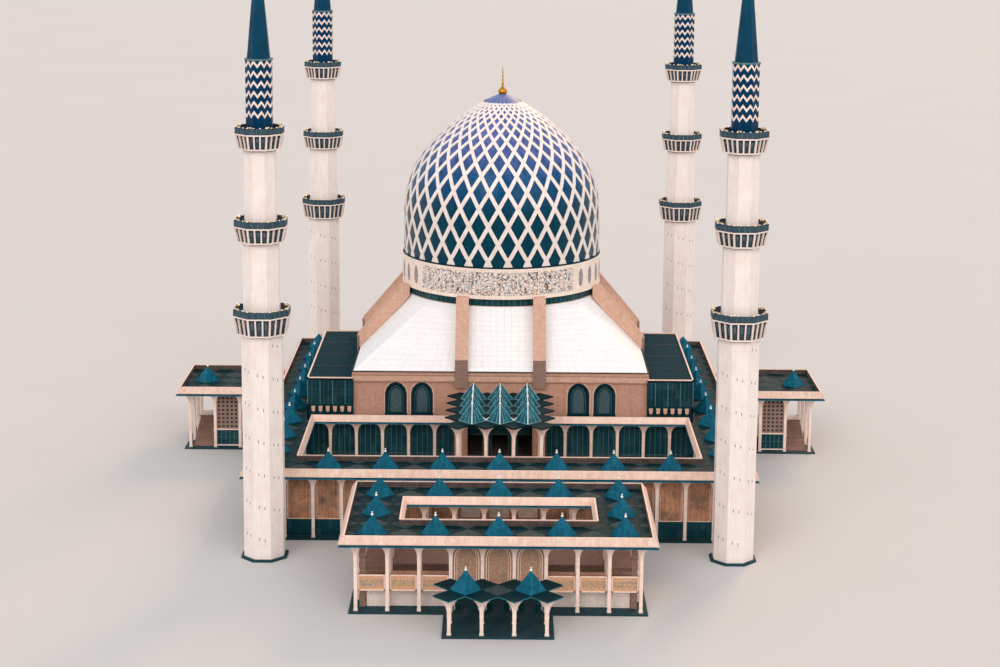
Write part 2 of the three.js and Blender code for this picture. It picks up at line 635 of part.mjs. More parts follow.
const underSkirt = lofted([
  eaveRing(EAVE_HALF + TOUCH_GAP, HALL_WALL_TOP - WALL),
  eaveRing(EAVE_HALF + TOUCH_GAP, HALL_WALL_TOP + SKIRT_THICKNESS + TOUCH_GAP),
  roundRing(SKIRT_RADIUS + TOUCH_GAP, SKIRT_TOP + TOUCH_GAP),
], false);
const corniceEdge = HALL_HALF + CORNICE_DEPTH + TOUCH_GAP;
const roundCore = (radius, bottom, top) => (
  turned([[0, bottom], [radius, bottom], [radius, top], [0, top]], ROUND_SIDES));
const ribs = cut(join([0, 1, 2, 3].map((quarter) => quarterTurned(ribPair(quarter), quarter))), [
  underSkirt,
  box(-corniceEdge, corniceEdge, -corniceEdge, corniceEdge, 0, HALL_WALL_TOP),
  roundCore(CLERESTORY_RADIUS + TOUCH_GAP, 0, CLERESTORY_TOP),
  roundCore(DRUM_RADIUS + TOUCH_GAP, RING_TOP, DRUM_TOP),
]);
const tieRing = turned([
  [RING_INNER, CLERESTORY_TOP], [RING_OUTER, CLERESTORY_TOP], [RING_OUTER, RING_TOP], [RING_INNER, RING_TOP],
  [RING_INNER, CLERESTORY_TOP],
], ROUND_SIDES);
addPart('roof_ribs', join([ribs, tieRing]), BROWN_STONE);

// Clerestory ring with its openings, drum, dome and finial
const tube = (inner, outer, bottom, top) => turned([
  [inner, bottom], [outer, bottom], [outer, top], [inner, top], [inner, bottom],
], ROUND_SIDES);
const throughOpening = box(-2 * DRUM_RADIUS, 2 * DRUM_RADIUS, -CLERESTORY_OPENING_HALF,
  CLERESTORY_OPENING_HALF, CLERESTORY_SILL, CLERESTORY_HEAD);
const clerestoryTools = Array.from({ length: CLERESTORY_OPENINGS / 2 }, (_, step) => (
  throughOpening.rotate([0, 0, (step + 0.25) * 360 / CLERESTORY_OPENINGS])));
const clerestory = tube(CLERESTORY_INNER, CLERESTORY_RADIUS, SKIRT_TOP, CLERESTORY_TOP);
addPart('clerestory', cut(clerestory, clerestoryTools), CREAM_STONE);
addPart('drum', tube(DRUM_INNER, DRUM_RADIUS, RING_TOP, DRUM_TOP), CREAM_STONE);

// Pointed dome shell under its cap cone
addPart('dome', turned([...DOME_INSIDE, ...DOME_PROFILE, [CAP_TOP_RADIUS, CAP_TOP], [0, CAP_TOP]],
  ROUND_SIDES), WHITE_PANEL);
addPart('finial', turned([
  [0, CAP_TOP], [0.6 * BULB_RADIUS, CAP_TOP + 6], [BULB_RADIUS, BULB_LEVEL],
  [0.6 * BULB_RADIUS, 2 * BULB_LEVEL - CAP_TOP],
  [28, 2 * BULB_LEVEL - CAP_TOP + 40], [36, FINIAL_TOP - 380], [14, FINIAL_TOP - 330], [0, FINIAL_TOP],
], 12), GOLD);

// Glazed wings against the sides of the prayer hall, open to it
function wing(side) {
  const inner = HALL_HALF + TOUCH_GAP;
  const strip = (WING_REAR - WING_FRONT) / WING_STRIPS;
  const strips = Array.from({ length: WING_STRIPS }, (_, step) => WING_FRONT + (step + 0.5) * strip);
  const shell = cut(box(inner, WING_OUTER, WING_FRONT, WING_REAR, DECK_TOP, WING_TOP), [
    box(0, WING_OUTER - WING_WALL, WING_FRONT + WING_WALL, WING_REAR - WING_WALL, 0, WING_ROOF),
    box(0, corniceEdge, 2 * WING_FRONT, WING_REAR + WALL, CORNICE_BOTTOM - TOUCH_GAP, APEX),
    ...strips.map((y) => box(WING_OUTER - 2 * WING_WALL, WING_OUTER + WALL, y - strip / 2 + WING_WALL,
      y + strip / 2 - WING_WALL, WING_SILL, WING_HEAD)),
    box(inner + WING_WALL, WING_OUTER - WING_WALL, 2 * WING_FRONT, WING_FRONT + 2 * WING_WALL, WING_SILL,
      CORNICE_BOTTOM - WING_WALL),
  ]);
  const glass = box(WING_OUTER - WING_WALL + 10, WING_OUTER - 15, WING_FRONT + 10, WING_REAR - 10,
    WING_SILL - 5, WING_HEAD + 5);
  const frontGlass = box(inner + 5, WING_OUTER - 20, WING_FRONT + 15, WING_FRONT + WING_WALL - 10,
    WING_SILL - 5, CORNICE_BOTTOM - WING_WALL + 5);
  const body = join([shell, glass, frontGlass]);
  return side < 0 ? body.mirror([1, 0, 0]) : body;
}

addPart('wing_left', wing(-1), DARK_GLASS);
addPart('wing_right', wing(1), DARK_GLASS);

// Canopy roofs: a folded plate with a leaf tip over each outer column and pyramids over its bays
function canopyRoof([front, rear], plane, peak, raised) {
  const ys = oddSteps(front, rear);
  const xs = oddSteps(-CENTRE_X, CENTRE_X);
  const [y0, y1] = [front * HALF_BAY, rear * HALF_BAY];
  const edge = CENTRE_X * HALF_BAY;
  const zigzag = (steps, tip, notch) => steps.flatMap((at, i) => (
    i < steps.length - 1 ? [tip(at), notch((at + steps[i + 1]) / 2)] : [tip(at)]));
  const outline = [
    ...zigzag(xs, (x) => [x, y0 - HALF_BAY], (x) => [x, y0]),
    [edge + HALF_BAY / 2, y0 - HALF_BAY / 2],
    ...zigzag(ys, (y) => [edge + HALF_BAY, y], (y) => [edge, y]),
    [edge + HALF_BAY / 2, y1 + HALF_BAY / 2],
    ...zigzag([...xs].reverse(), (x) => [x, y1 + HALF_BAY], (x) => [x, y1]),
    [-edge - HALF_BAY / 2, y1 + HALF_BAY / 2],
    ...zigzag([...ys].reverse(), (y) => [-edge - HALF_BAY, y], (y) => [-edge, y]),
    [-edge - HALF_BAY / 2, y0 - HALF_BAY / 2],
  ];
  const top = plane + CANOPY_THICKNESS;
  const bays = oddSteps(front + 1, rear - 1).flatMap((y) => (
    oddSteps(1 - CENTRE_X, CENTRE_X - 1).map((x) => [x, y])));
  return join([slab(outline, plane, top), ...pyramids(bays.filter(([x]) => raised(x)), top, peak - top)]);
}

// Slender flared columns on a grid, tied by the ceiling plate under the canopy's roof
function canopyColumns([front, rear], foot, spring, crown, plane) {
  const reach = [CANOPY_REACH, CANOPY_REACH, CANOPY_REACH, CANOPY_REACH];
  const edge = CENTRE_X * HALF_BAY;
  const places = oddSteps(front, rear).flatMap((y) => oddSteps(-CENTRE_X, CENTRE_X).map((x) => [x, y]));
  return join([
    box(-edge, edge, front * HALF_BAY, rear * HALF_BAY, crown - BEAM_LAP, plane),
    ...places.map((place) => flaredColumn(place, foot, spring, crown, reach)),
  ]);
}

const courtRows = [COURT_CANOPY_FRONT, COURT_CANOPY_REAR];
addPart('court_canopy_columns', canopyColumns(courtRows, MAIN_FLOOR_TOP, COURT_CANOPY_SPRING,
  COURT_CANOPY_CROWN, COURT_CANOPY_PLANE), CREAM_STONE);
addPart('court_canopy_roof', canopyRoof(courtRows, COURT_CANOPY_PLANE, COURT_CANOPY_PEAK, () => true),
  TEAL_METAL);
const entranceRows = [ENTRANCE_CANOPY_FRONT, ENTRANCE_CANOPY_REAR];
addPart('entrance_canopy_columns', canopyColumns(entranceRows, GROUND_TOP, ENTRANCE_CANOPY_SPRING,
  ENTRANCE_CANOPY_CROWN, ENTRANCE_CANOPY_PLANE), CREAM_STONE);
addPart('entrance_canopy_roof', canopyRoof(entranceRows, ENTRANCE_CANOPY_PLANE, ENTRANCE_CANOPY_PEAK,
  (x) => Math.abs(x) > HALF_BAY), TEAL_METAL);

// Portico: a colonnade, an inner colonnade and the roof round its opening
const outerFrontReach = [FLARE_ALONG, FLARE_ALONG, FLARE_OUT, FLARE_BACK];
addPart('portico_columns_outer', join([
  columnRow(across(-PORTICO_X, PORTICO_X, PORTICO_FRONT), GROUND_TOP, outerFrontReach),
  columnRow(across(-PORTICO_X, PORTICO_X, PORTICO_REAR), GROUND_TOP, arcadeReach),
  linkBeam(-PORTICO_X, PORTICO_FRONT, PORTICO_REAR),
  linkBeam(PORTICO_X, PORTICO_FRONT, PORTICO_REAR),
  ...[-PORTICO_X, PORTICO_X].flatMap((x) => along(x, PORTICO_FRONT + 2, PORTICO_REAR - 2))
    .map((place) => flaredColumn(place, GROUND_TOP, SPRING_LEVEL, CAPITAL_TOP, sideReach)),
]), CREAM_STONE);
addPart('portico_columns_inner', join([
  columnRow(across(-OPENING_X, OPENING_X, OPENING_FRONT), GROUND_TOP, arcadeReach),
  columnRow(across(-OPENING_X, OPENING_X, OPENING_REAR), GROUND_TOP, arcadeReach),
  ...[-OPENING_X, OPENING_X].flatMap((x) => [
    linkBeam(x, OPENING_FRONT, OPENING_REAR),
    ...along(x, OPENING_FRONT + 2, OPENING_REAR - 2).map((place) => (
      flaredColumn(place, GROUND_TOP, SPRING_LEVEL, CAPITAL_TOP, sideReach))),
  ]),
]), CREAM_STONE);
const openingX = OPENING_X * HALF_BAY - ROOF_OVERHANG;
const porticoPyramids = [
  ...[-19, -15].flatMap((row) => [0, 2, 4].map((step) => [step * BAY, row * BAY])),
  [4 * BAY, -17 * BAY],
];
addPart('portico_roof', join([
  bandedDeck([
    -porticoX - ROOF_OVERHANG, porticoX + ROOF_OVERHANG, porticoFront - ROOF_OVERHANG,
    porticoRear + ROOF_OVERHANG,
  ], [
    -openingX, openingX, OPENING_FRONT * HALF_BAY + ROOF_OVERHANG, OPENING_REAR * HALF_BAY - ROOF_OVERHANG,
  ]),
  ...pyramids(mirrored(porticoPyramids), DECK_TOP, PYRAMID_HEIGHT),
]), DARK_ROOF);

// Tall arched screens in the portico's three middle bays, with a door in each
const screenEdge = CENTRE_X * HALF_BAY;
const screenBays = [-BAY, 0, BAY];
const screenRear = SCREEN_FACE + SCREEN_DEPTH;
const screenArches = screenBays.map((x) => (
  drawnAlongY(pointedOutline(x, ARCH_HALF, GROUND_TOP - 10, ARCH_SPRING, ARCH_TOP),
    SCREEN_FACE - 10, screenRear + 10)));
const screenDoors = screenBays.map((x) => (
  box(x - PORTICO_DOOR_HALF, x + PORTICO_DOOR_HALF, SCREEN_FACE - 10, screenRear + 10,
    0, PORTICO_DOOR_HEAD)));
addPart('portico_screens', cut(join([
  cut(box(-screenEdge, screenEdge, SCREEN_FACE, screenRear, GROUND_TOP, PORTICO_SCREEN_TOP), screenArches),
  box(-screenEdge, screenEdge, screenRear - SCREEN_PLATE, screenRear, GROUND_TOP, PORTICO_SCREEN_TOP),
]), screenDoors), BROWN_STONE);

// Balconies behind the portico's outer front bays, on a recessed lower wall
const balconyStart = screenEdge + TOUCH_GAP;
const balconyEnd = OPENING_X * HALF_BAY - COLUMN_HALF;
const balcony = join([
  box(balconyStart, porticoX - COLUMN_HALF, SCREEN_FACE, SCREEN_FACE + PARAPET_THICKNESS,
    MAIN_FLOOR_BOTTOM, PARAPET_TOP),
  box(balconyStart, balconyEnd, SCREEN_FACE, BALCONY_REAR, MAIN_FLOOR_BOTTOM, MAIN_FLOOR_TOP),
  box(balconyStart, balconyEnd, LOWER_WALL_FACE, LOWER_WALL_FACE + WALL, GROUND_TOP,
    MAIN_FLOOR_TOP - BEAM_LAP),
]);
addPart('portico_balcony_right', balcony, CREAM_STONE);
addPart('portico_balcony_left', balcony.mirror([1, 0, 0]), CREAM_STONE);

// Stair flights as stepped outlines [y, z] between two levels
function stairOutline(foot, head, bottom, top, steps) {
  const outline = [[foot, bottom]];
  for (let step = 0; step < steps; step += 1) {
    const z = bottom + (top - bottom) * (step + 1) / steps;
    outline.push([foot + (head - foot) * step / steps, z], [foot + (head - foot) * (step + 1) / steps, z]);
  }
  return [...outline, [head, bottom]];
}

// Terrace from the portico's stairs to the podium's doorways, cut clear of the columns
const columnHole = ([x, y]) => {
  const half = COLUMN_HALF + TOUCH_GAP;
  return box(x - half, x + half, y - half, y + half, 0, APEX);
};
const stair = stairOutline(STAIR_FOOT, STAIR_HEAD + BEAM_LAP, GROUND_TOP, MAIN_FLOOR_TOP, STAIR_STEPS);
const middle = [-3, -1, 1, 3].flatMap((x) => [OPENING_REAR, PORTICO_REAR, PODIUM_FRONT].map((y) => [x, y]));
addPart('portico_terrace', cut(join([
  box(-STAIR_OUTER, STAIR_OUTER, STAIR_HEAD, TERRACE_CROSS_REAR, MAIN_FLOOR_BOTTOM, MAIN_FLOOR_TOP),
  box(-TERRACE_HALF, TERRACE_HALF, STAIR_HEAD, wallFront - TOUCH_GAP, MAIN_FLOOR_BOTTOM, MAIN_FLOOR_TOP),
  box(-TERRACE_HALF, -TERRACE_HALF + WALL, STAIR_HEAD, podiumFront - FLARE_WALL, GROUND_TOP, MAIN_FLOOR_TOP),
  box(TERRACE_HALF - WALL, TERRACE_HALF, STAIR_HEAD, podiumFront - FLARE_WALL, GROUND_TOP, MAIN_FLOOR_TOP),
  drawnAlongX(stair, -STAIR_OUTER, -STAIR_INNER),
  drawnAlongX(stair, STAIR_INNER, STAIR_OUTER),
]), [
  ...middle.map(([x, y]) => columnHole([x * HALF_BAY, y * HALF_BAY])),
  ...[-1, 1].map((side) => columnHole([side * OPENING_X * HALF_BAY, (OPENING_REAR - 2) * HALF_BAY])),
]), BROWN_STONE);

// Side pavilions: columns with a floor, stair and screen between them, and a roof with one pyramid
const pavilionInner = PAVILION_INNER * HALF_BAY;
const pavilionPlaces = [
  ...[-PAVILION_Y, PAVILION_Y].flatMap((y) => across(PAVILION_INNER, PAVILION_OUTER, y)),
  ...[PAVILION_INNER, PAVILION_OUTER].flatMap((x) => along(x, -1, 1)),
];
const pavilionReach = [FLARE_OUT - 20, FLARE_OUT - 20, FLARE_OUT - 20, FLARE_OUT - 20];
const pavilionEdge = FLARE_OUT - 20 + BEAM_EDGE;
const pavilionBeam = (x0, x1, y0, y1) => box(x0 - pavilionEdge, x1 + pavilionEdge,
  y0 - pavilionEdge, y1 + pavilionEdge, CAPITAL_TOP - BEAM_LAP, BEAM_TOP);
const screenStart = (PAVILION_INNER + 2) * HALF_BAY;
const screenEnd = (PAVILION_INNER + 4) * HALF_BAY;
const pavilionStair = stairOutline(-pavilionY + 80, pavilionY - 500, GROUND_TOP, MAIN_FLOOR_TOP,
  STAIR_STEPS);
const pavilion = join([
  pavilionBeam(pavilionInner, pavilionX, -pavilionY, -pavilionY),
  pavilionBeam(pavilionInner, pavilionX, pavilionY, pavilionY),
  pavilionBeam(pavilionInner, pavilionInner, -pavilionY, pavilionY),
  pavilionBeam(pavilionX, pavilionX, -pavilionY, pavilionY),
  ...pavilionPlaces.map((place) => (
    flaredColumn(place, GROUND_TOP, SPRING_LEVEL, CAPITAL_TOP, pavilionReach))),
  box(screenStart, screenEnd, -pavilionY - 12, -pavilionY + 12, 800, BEAM_TOP),
  box(pavilionInner, screenEnd + 60, -pavilionY, pavilionY, MAIN_FLOOR_BOTTOM, MAIN_FLOOR_TOP),
  box(screenEnd, pavilionX, pavilionY - 510, pavilionY, MAIN_FLOOR_BOTTOM, MAIN_FLOOR_TOP),
  drawnAlongX(pavilionStair, screenEnd + 60, pavilionX - 60),
]);
addPart('pavilion_right_columns', pavilion, CREAM_STONE);
addPart('pavilion_left_columns', pavilion.mirror([1, 0, 0]), CREAM_STONE);
const pavilionRoof = join([
  bandedDeck([
    PAVILION_ROOF_INNER, pavilionX + ROOF_OVERHANG, -pavilionY - ROOF_OVERHANG, pavilionY + ROOF_OVERHANG,
  ]),
  ...pyramids([[12 * BAY, 0]], DECK_TOP, PYRAMID_HEIGHT),
]);
addPart('pavilion_right_roof', pavilionRoof, DARK_ROOF);
addPart('pavilion_left_roof', pavilionRoof.mirror([1, 0, 0]), DARK_ROOF);

// Minarets: hollow eight-sided shafts in three stages with galleries, a crown and a spire
function minaretProfile() {
  const inner = STAGE_HALF.map((half) => half - SHAFT_WALL);
  const outside = [[PLINTH_HALF, 0], [PLINTH_HALF, PLINTH_TOP], [STAGE_HALF[0], PLINTH_TOP]];
  GALLERY_FOOT.forEach((foot, stage) => {
    const next = stage < 2 ? STAGE_HALF[stage + 1] : CROWN_HALF;
    outside.push([STAGE_HALF[stage], foot - GALLERY_CONE], [GALLERY_FOOT_HALF[stage], foot],
      [GALLERY_LIP_HALF[stage], GALLERY_FLOOR[stage]], [GALLERY_LIP_HALF[stage], GALLERY_RAIL[stage]],
      [GALLERY_LIP_HALF[stage] - GALLERY_WALL, GALLERY_RAIL[stage]],
      [GALLERY_LIP_HALF[stage] - GALLERY_WALL, GALLERY_FLOOR[stage]], [next, GALLERY_FLOOR[stage]]);
  });
  const crown = [
    [CROWN_HALF, CROWN_TOP], [CROWN_LIP_HALF, CROWN_TOP], [CROWN_LIP_HALF, CROWN_LIP_TOP],
    [SPIRE_HALF, CROWN_LIP_TOP], [0, APEX],
  ];
  const core = [
    [0, CROWN_TOP - SHAFT_WALL], [CROWN_INNER, CROWN_TOP - SHAFT_WALL], [CROWN_INNER, GALLERY_FLOOR[2]],
    [inner[2], GALLERY_FLOOR[2] - SHAFT_WALL], [inner[2], GALLERY_FLOOR[1]],
    [inner[1], GALLERY_FLOOR[1] - SHAFT_WALL], [inner[1], GALLERY_FLOOR[0]],
    [inner[0], GALLERY_FLOOR[0] - SHAFT_WALL], [inner[0], 0],
  ];
  return [...core, ...outside, ...crown].map(([half, z]) => [half / Math.cos(Math.PI / 8), z]);
}

const slits = SLIT_LEVELS.map((level) => box(-SLIT_HALF, SLIT_HALF, -BAY, BAY, level, level + SLIT_HEIGHT));
const minaret = cut(turned(minaretProfile(), 8, 0, 0, Math.PI / 8), slits);
for (const [name, x, y] of [
  ['front_left', -MINARET_X, MINARET_FRONT], ['front_right', MINARET_X, MINARET_FRONT],
  ['rear_left', -MINARET_X, MINARET_REAR], ['rear_right', MINARET_X, MINARET_REAR],
]) {
  addPart(`minaret_${name}`, minaret.translate([x, y, 0]), WHITE_TILE);
}

export default group;
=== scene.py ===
"""Visual model of a domed mosque at one tenth of its real size, dressed over its solids.

Metres, X to the right, Y away from the entrance, Z up, with the origin at ground level under
the centre of the dome. Ten centimetres here stand for one metre of the real building.
"""

from __future__ import annotations

import logging
import math
import random
from collections.abc import Callable, Iterable, Sequence
from dataclasses import dataclass, replace
from enum import Enum

import bpy
from bpy.types import Material, Mesh, Node, NodeSocket, NodeTree
from mathutils import Matrix, Vector

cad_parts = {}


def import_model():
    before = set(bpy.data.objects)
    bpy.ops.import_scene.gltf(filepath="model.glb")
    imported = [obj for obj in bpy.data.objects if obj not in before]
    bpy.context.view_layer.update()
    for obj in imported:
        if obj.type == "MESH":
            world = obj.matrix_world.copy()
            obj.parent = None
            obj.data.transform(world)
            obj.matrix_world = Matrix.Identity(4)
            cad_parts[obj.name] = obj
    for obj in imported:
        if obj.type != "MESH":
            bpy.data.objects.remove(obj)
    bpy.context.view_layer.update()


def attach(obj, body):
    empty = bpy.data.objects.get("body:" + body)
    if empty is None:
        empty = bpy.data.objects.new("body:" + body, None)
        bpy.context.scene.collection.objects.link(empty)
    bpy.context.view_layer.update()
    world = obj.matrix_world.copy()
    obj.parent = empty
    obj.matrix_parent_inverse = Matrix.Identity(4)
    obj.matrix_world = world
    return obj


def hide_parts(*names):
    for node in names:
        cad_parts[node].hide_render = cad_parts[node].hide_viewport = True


LOG = logging.getLogger("mosque")

Point = tuple[float, float, float]
Place = tuple[float, float]
Rect = tuple[float, float, float, float]
Reach = tuple[float, float, float, float]

# Planning grid and levels that several sub-assemblies share
BAY = 0.673
HALF_BAY = BAY / 2
GROUND = 0.03
LOW_WALL = 0.45
MAIN_FLOOR = 0.5
SPRING = 1.22
CROWN = 1.53
BEAM_FOOT = CROWN - 0.004
BEAM_TOP = 1.57
DECK = 1.62
FASCIA_FOOT = 1.598
FASCIA_TOP = 1.762
COLUMN_HALF = 0.037
FLARE_ALONG = 0.25
FLARE_OUT = 0.22
WALL_REACH = 0.105
PYRAMID_HALF = 0.33
PIER_INNER = 0.835
PIER_OUTER = 1.165
DIVISION = 0.0841
OVERHANG = 0.24
ROOT = "root"
# Millimetres of the real building in one metre of the model
REAL = 10000


class Slot(Enum):
    """Material slots, one named for each piece."""

    CREAM = "cream_stone"
    BROWN = "brown_stone"
    WHITE = "white_panel"
    TEAL = "teal_metal"
    ROOF = "dark_roof"
    GLASS = "dark_glass"
    TILE = "white_tile"
    GOLD = "gold"


# Materials


def linear(code: str) -> tuple[float, float, float, float]:
    """Turn an sRGB hex colour with a leading hash into linear red, green, blue and alpha.

    Args:
        code: The colour.

    Returns:
        Its four values.
    """
    parts = [int(code[i:i + 2], 16) / 255 for i in (1, 3, 5)]
    red, green, blue = (c / 12.92 if c <= 0.04045 else ((c + 0.055) / 1.055) ** 2.4 for c in parts)
    return red, green, blue, 1.0


def add_node(tree: NodeTree, kind: str, values: dict | None = None) -> Node:
    """Add one node with its settings and links.

    Args:
        tree: The node tree.
        kind: The node's type name after ShaderNode.
        values: Values by attribute name, or by input name or number. A socket is linked.

    Returns:
        The new node.
    """
    node = tree.nodes.new(f"ShaderNode{kind}")
    for key, value in (values or {}).items():
        if isinstance(value, NodeSocket):
            tree.links.new(value, node.inputs[key])
        elif isinstance(key, str) and hasattr(node, key):
            setattr(node, key, value)
        else:
            node.inputs[key].default_value = value
    return node


def face_plane(tree: NodeTree, place: NodeSocket) -> NodeSocket:
    """Lay patterns flat on each face: along and up on walls, and X and Y on level faces.

    Args:
        tree: The node tree.
        place: The place on the object.

    Returns:
        The place on the face, in metres.
    """
    at = add_node(tree, "SeparateXYZ", {0: place}).outputs
    facing = add_node(tree, "NewGeometry").outputs["Normal"]
    normal = add_node(tree, "SeparateXYZ", {0: facing}).outputs
    steep = [add_node(tree, "Math", {"operation": "ABSOLUTE", 0: part}).outputs[0] for part in normal]
    level = add_node(tree, "Math", {"operation": "GREATER_THAN", 0: steep[2], 1: 0.93}).outputs[0]
    wall = add_node(tree, "Math", {"operation": "SUBTRACT", 0: 1.0, 1: level}).outputs[0]
    side = add_node(tree, "Math", {"operation": "GREATER_THAN", 0: steep[0], 1: steep[1]}).outputs[0]
    side = add_node(tree, "Math", {"operation": "MULTIPLY", 0: side, 1: wall}).outputs[0]
    sideways = add_node(tree, "Mix", {0: side, 2: at[0], 3: at[1]}).outputs[0]
    upwards = add_node(tree, "Mix", {0: level, 2: at[2], 3: at[1]}).outputs[0]
    return add_node(tree, "CombineXYZ", {0: sideways, 1: upwards}).outputs[0]


@dataclass(frozen=True)
class Finish:
    """A finish: one material, made when the first piece asks for it."""

    name: str

    def material(self) -> Material:
        """Give the material, and make it the first time.

        Returns:
            The material.
        """
        made = bpy.data.materials.get(self.name)
        if not made:
            made = bpy.data.materials.new(self.name)
            made.use_nodes = True
            tree = made.node_tree
            tree.nodes.clear()
            place = add_node(tree, "TexCoord").outputs["Object"]
            shader = add_node(tree, "BsdfPrincipled", self.surface(tree, place)).outputs[0]
            add_node(tree, "OutputMaterial", {"Surface": shader})
        return made

    def surface(self, tree: NodeTree, place: NodeSocket) -> dict:
        """Give the shader's values. Every kind of finish has its own."""
        raise NotImplementedError


@dataclass(frozen=True)
class Coursed(Finish):
    """A cladding laid in courses: stone slabs, blocks, tiles or sheets with joints between them.

    The courses come from the real sizes in millimetres, at one tenth.
    """

    tone: str
    light: str
    dark: str
    joint: str
    length_mm: float
    height_mm: float
    joint_mm: float
    roughness: float
    mottle_mm: float = 900
    streaks: float = 0.25
    relief: float = 0.35
    metallic: float = 0.0
    offset: float = 0.5
    mirror: str = "#FFFFFF"
    specular: float = 0.5
    wear_and_shade: float = 0.45

    def surface(self, tree: NodeTree, place: NodeSocket) -> dict:
        """Lay the courses, then cloudy wear, which on the podium panels also stands as painted shade,
        run-off streaks and a fine grain.

        Args:
            tree: The node tree.
            place: The place on the object.

        Returns:
            The shader's values.
        """
        courses = add_node(tree, "TexBrick", {
            "offset": self.offset, "Scale": 1.0, "Color1": linear(self.light),
            "Color2": linear(self.tone), "Mortar": linear(self.joint),
            "Mortar Size": self.joint_mm / REAL, "Mortar Smooth": 0.3, "Bias": -0.1,
            "Brick Width": self.length_mm / REAL, "Row Height": self.height_mm / REAL,
            "Vector": face_plane(tree, place)}).outputs
        clouds = add_node(tree, "TexNoise", {
            "Scale": REAL / self.mottle_mm, "Detail": 6.0, "Roughness": 0.62, "Vector": place}).outputs[0]
        # Cloud mottling towards the dark colour: wear, and painted shade where a finish sets it high
        cloudy = add_node(tree, "MapRange", {0: clouds, 1: 0.42, 2: 0.72}).outputs[0]
        cloudy = add_node(tree, "Math", {"operation": "MULTIPLY", 0: cloudy, 1: self.wear_and_shade}).outputs[0]
        upright = add_node(tree, "Mapping", {0: place, "Scale": (14.0, 14.0, 0.9)}).outputs[0]
        runs = add_node(tree, "TexNoise", {"Scale": 1.6, "Detail": 4.0, "Vector": upright}).outputs[0]
        streaky = add_node(tree, "MapRange", {0: runs, 1: 0.5, 2: 0.8, 4: self.streaks}).outputs[0]
        colour = add_node(tree, "Mix", {
            "data_type": "RGBA", 0: cloudy, 6: courses[0], 7: linear(self.dark)}).outputs[2]
        colour = add_node(tree, "Mix", {"data_type": "RGBA", "blend_type": "MULTIPLY",
                                        0: streaky, 6: colour, 7: linear(self.dark)}).outputs[2]
        grain = add_node(tree, "TexNoise", {"Scale": 160.0, "Detail": 3.0, "Vector": place}).outputs[0]
        grain = add_node(tree, "Math", {"operation": "MULTIPLY", 0: grain, 1: 0.12}).outputs[0]
        height = add_node(tree, "Math", {"operation": "SUBTRACT", 0: grain, 1: courses["Fac"]}).outputs[0]
        return {
            "Base Color": colour,
            "Roughness": add_node(tree, "MapRange", {
                0: clouds, 3: max(0.05, self.roughness - 0.1),
                4: min(1.0, self.roughness + 0.12)}).outputs[0],
            "Normal": add_node(tree, "Bump", {
                "Strength": self.relief, "Distance": 0.002, "Height": height}).outputs[0],
            "Metallic": self.metallic, "Specular Tint": linear(self.mirror),
            "Specular IOR Level": self.specular}


@dataclass(frozen=True)
class VitreousEnamel(Finish):
    """Glass fused on steel: deep glossy blue, with a painted sky reflection that turns it paler and redder
    higher up.
    """

    name: str = "vitreous enamel on steel, blue"
    low: str = "#00394B"
    middle: str = "#174A78"
    high: str = "#5B659F"
    low_level: float = 6.7
    high_level: float = 8.7

    def surface(self, tree: NodeTree, place: NodeSocket) -> dict:
        """Colour the panels by their height, as a painted sky reflection, and by each one's own tint.

        Args:
            tree: The node tree.
            place: The place on the object.

        Returns:
            The shader's values.
        """
        height = add_node(tree, "SeparateXYZ", {0: place}).outputs[2]
        tint = add_node(tree, "VertexColor", {"layer_name": "tint"}).outputs[0]
        share = add_node(tree, "SeparateColor", {0: tint}).outputs[0]
        # The height ramp paints the sky's reflection into the colour: paler and redder higher up
        rise = add_node(tree, "MapRange", {0: height, 1: self.low_level, 2: self.high_level}).outputs[0]
        spread = add_node(tree, "Math", {"operation": "MULTIPLY_ADD", 0: share, 1: 0.3, 2: -0.15}).outputs[0]
        spread = add_node(tree, "Math", {"operation": "MULTIPLY", 0: spread, 1: rise}).outputs[0]
        level = add_node(tree, "Math", {"operation": "ADD", 0: rise, 1: spread}).outputs[0]
        ramp = add_node(tree, "ValToRGB", {0: level})
        ramp.color_ramp.elements[0].color = linear(self.low)
        ramp.color_ramp.elements[1].color = linear(self.high)
        ramp.color_ramp.elements.new(0.45).color = linear(self.middle)
        clouds = add_node(tree, "TexNoise", {"Scale": 9.0, "Detail": 4.0, "Vector": place}).outputs[0]
        patch = add_node(tree, "MapRange", {0: clouds, 1: 0.35, 2: 0.75, 3: 0.75, 4: 1.3}).outputs[0]
        return {
            "Base Color": add_node(tree, "VectorMath", {
                "operation": "SCALE", 0: ramp.outputs[0], "Scale": patch}).outputs[0],
            "Roughness": add_node(tree, "MapRange", {0: clouds, 3: 0.22, 4: 0.38}).outputs[0],
            "Normal": add_node(tree, "Bump", {
                "Strength": 0.15, "Distance": 0.004, "Height": clouds}).outputs[0],
            "Coat Weight": 0.12, "Coat Roughness": 0.12, "Specular Tint": linear("#2F8AA8"),
            "Specular IOR Level": 0.35}


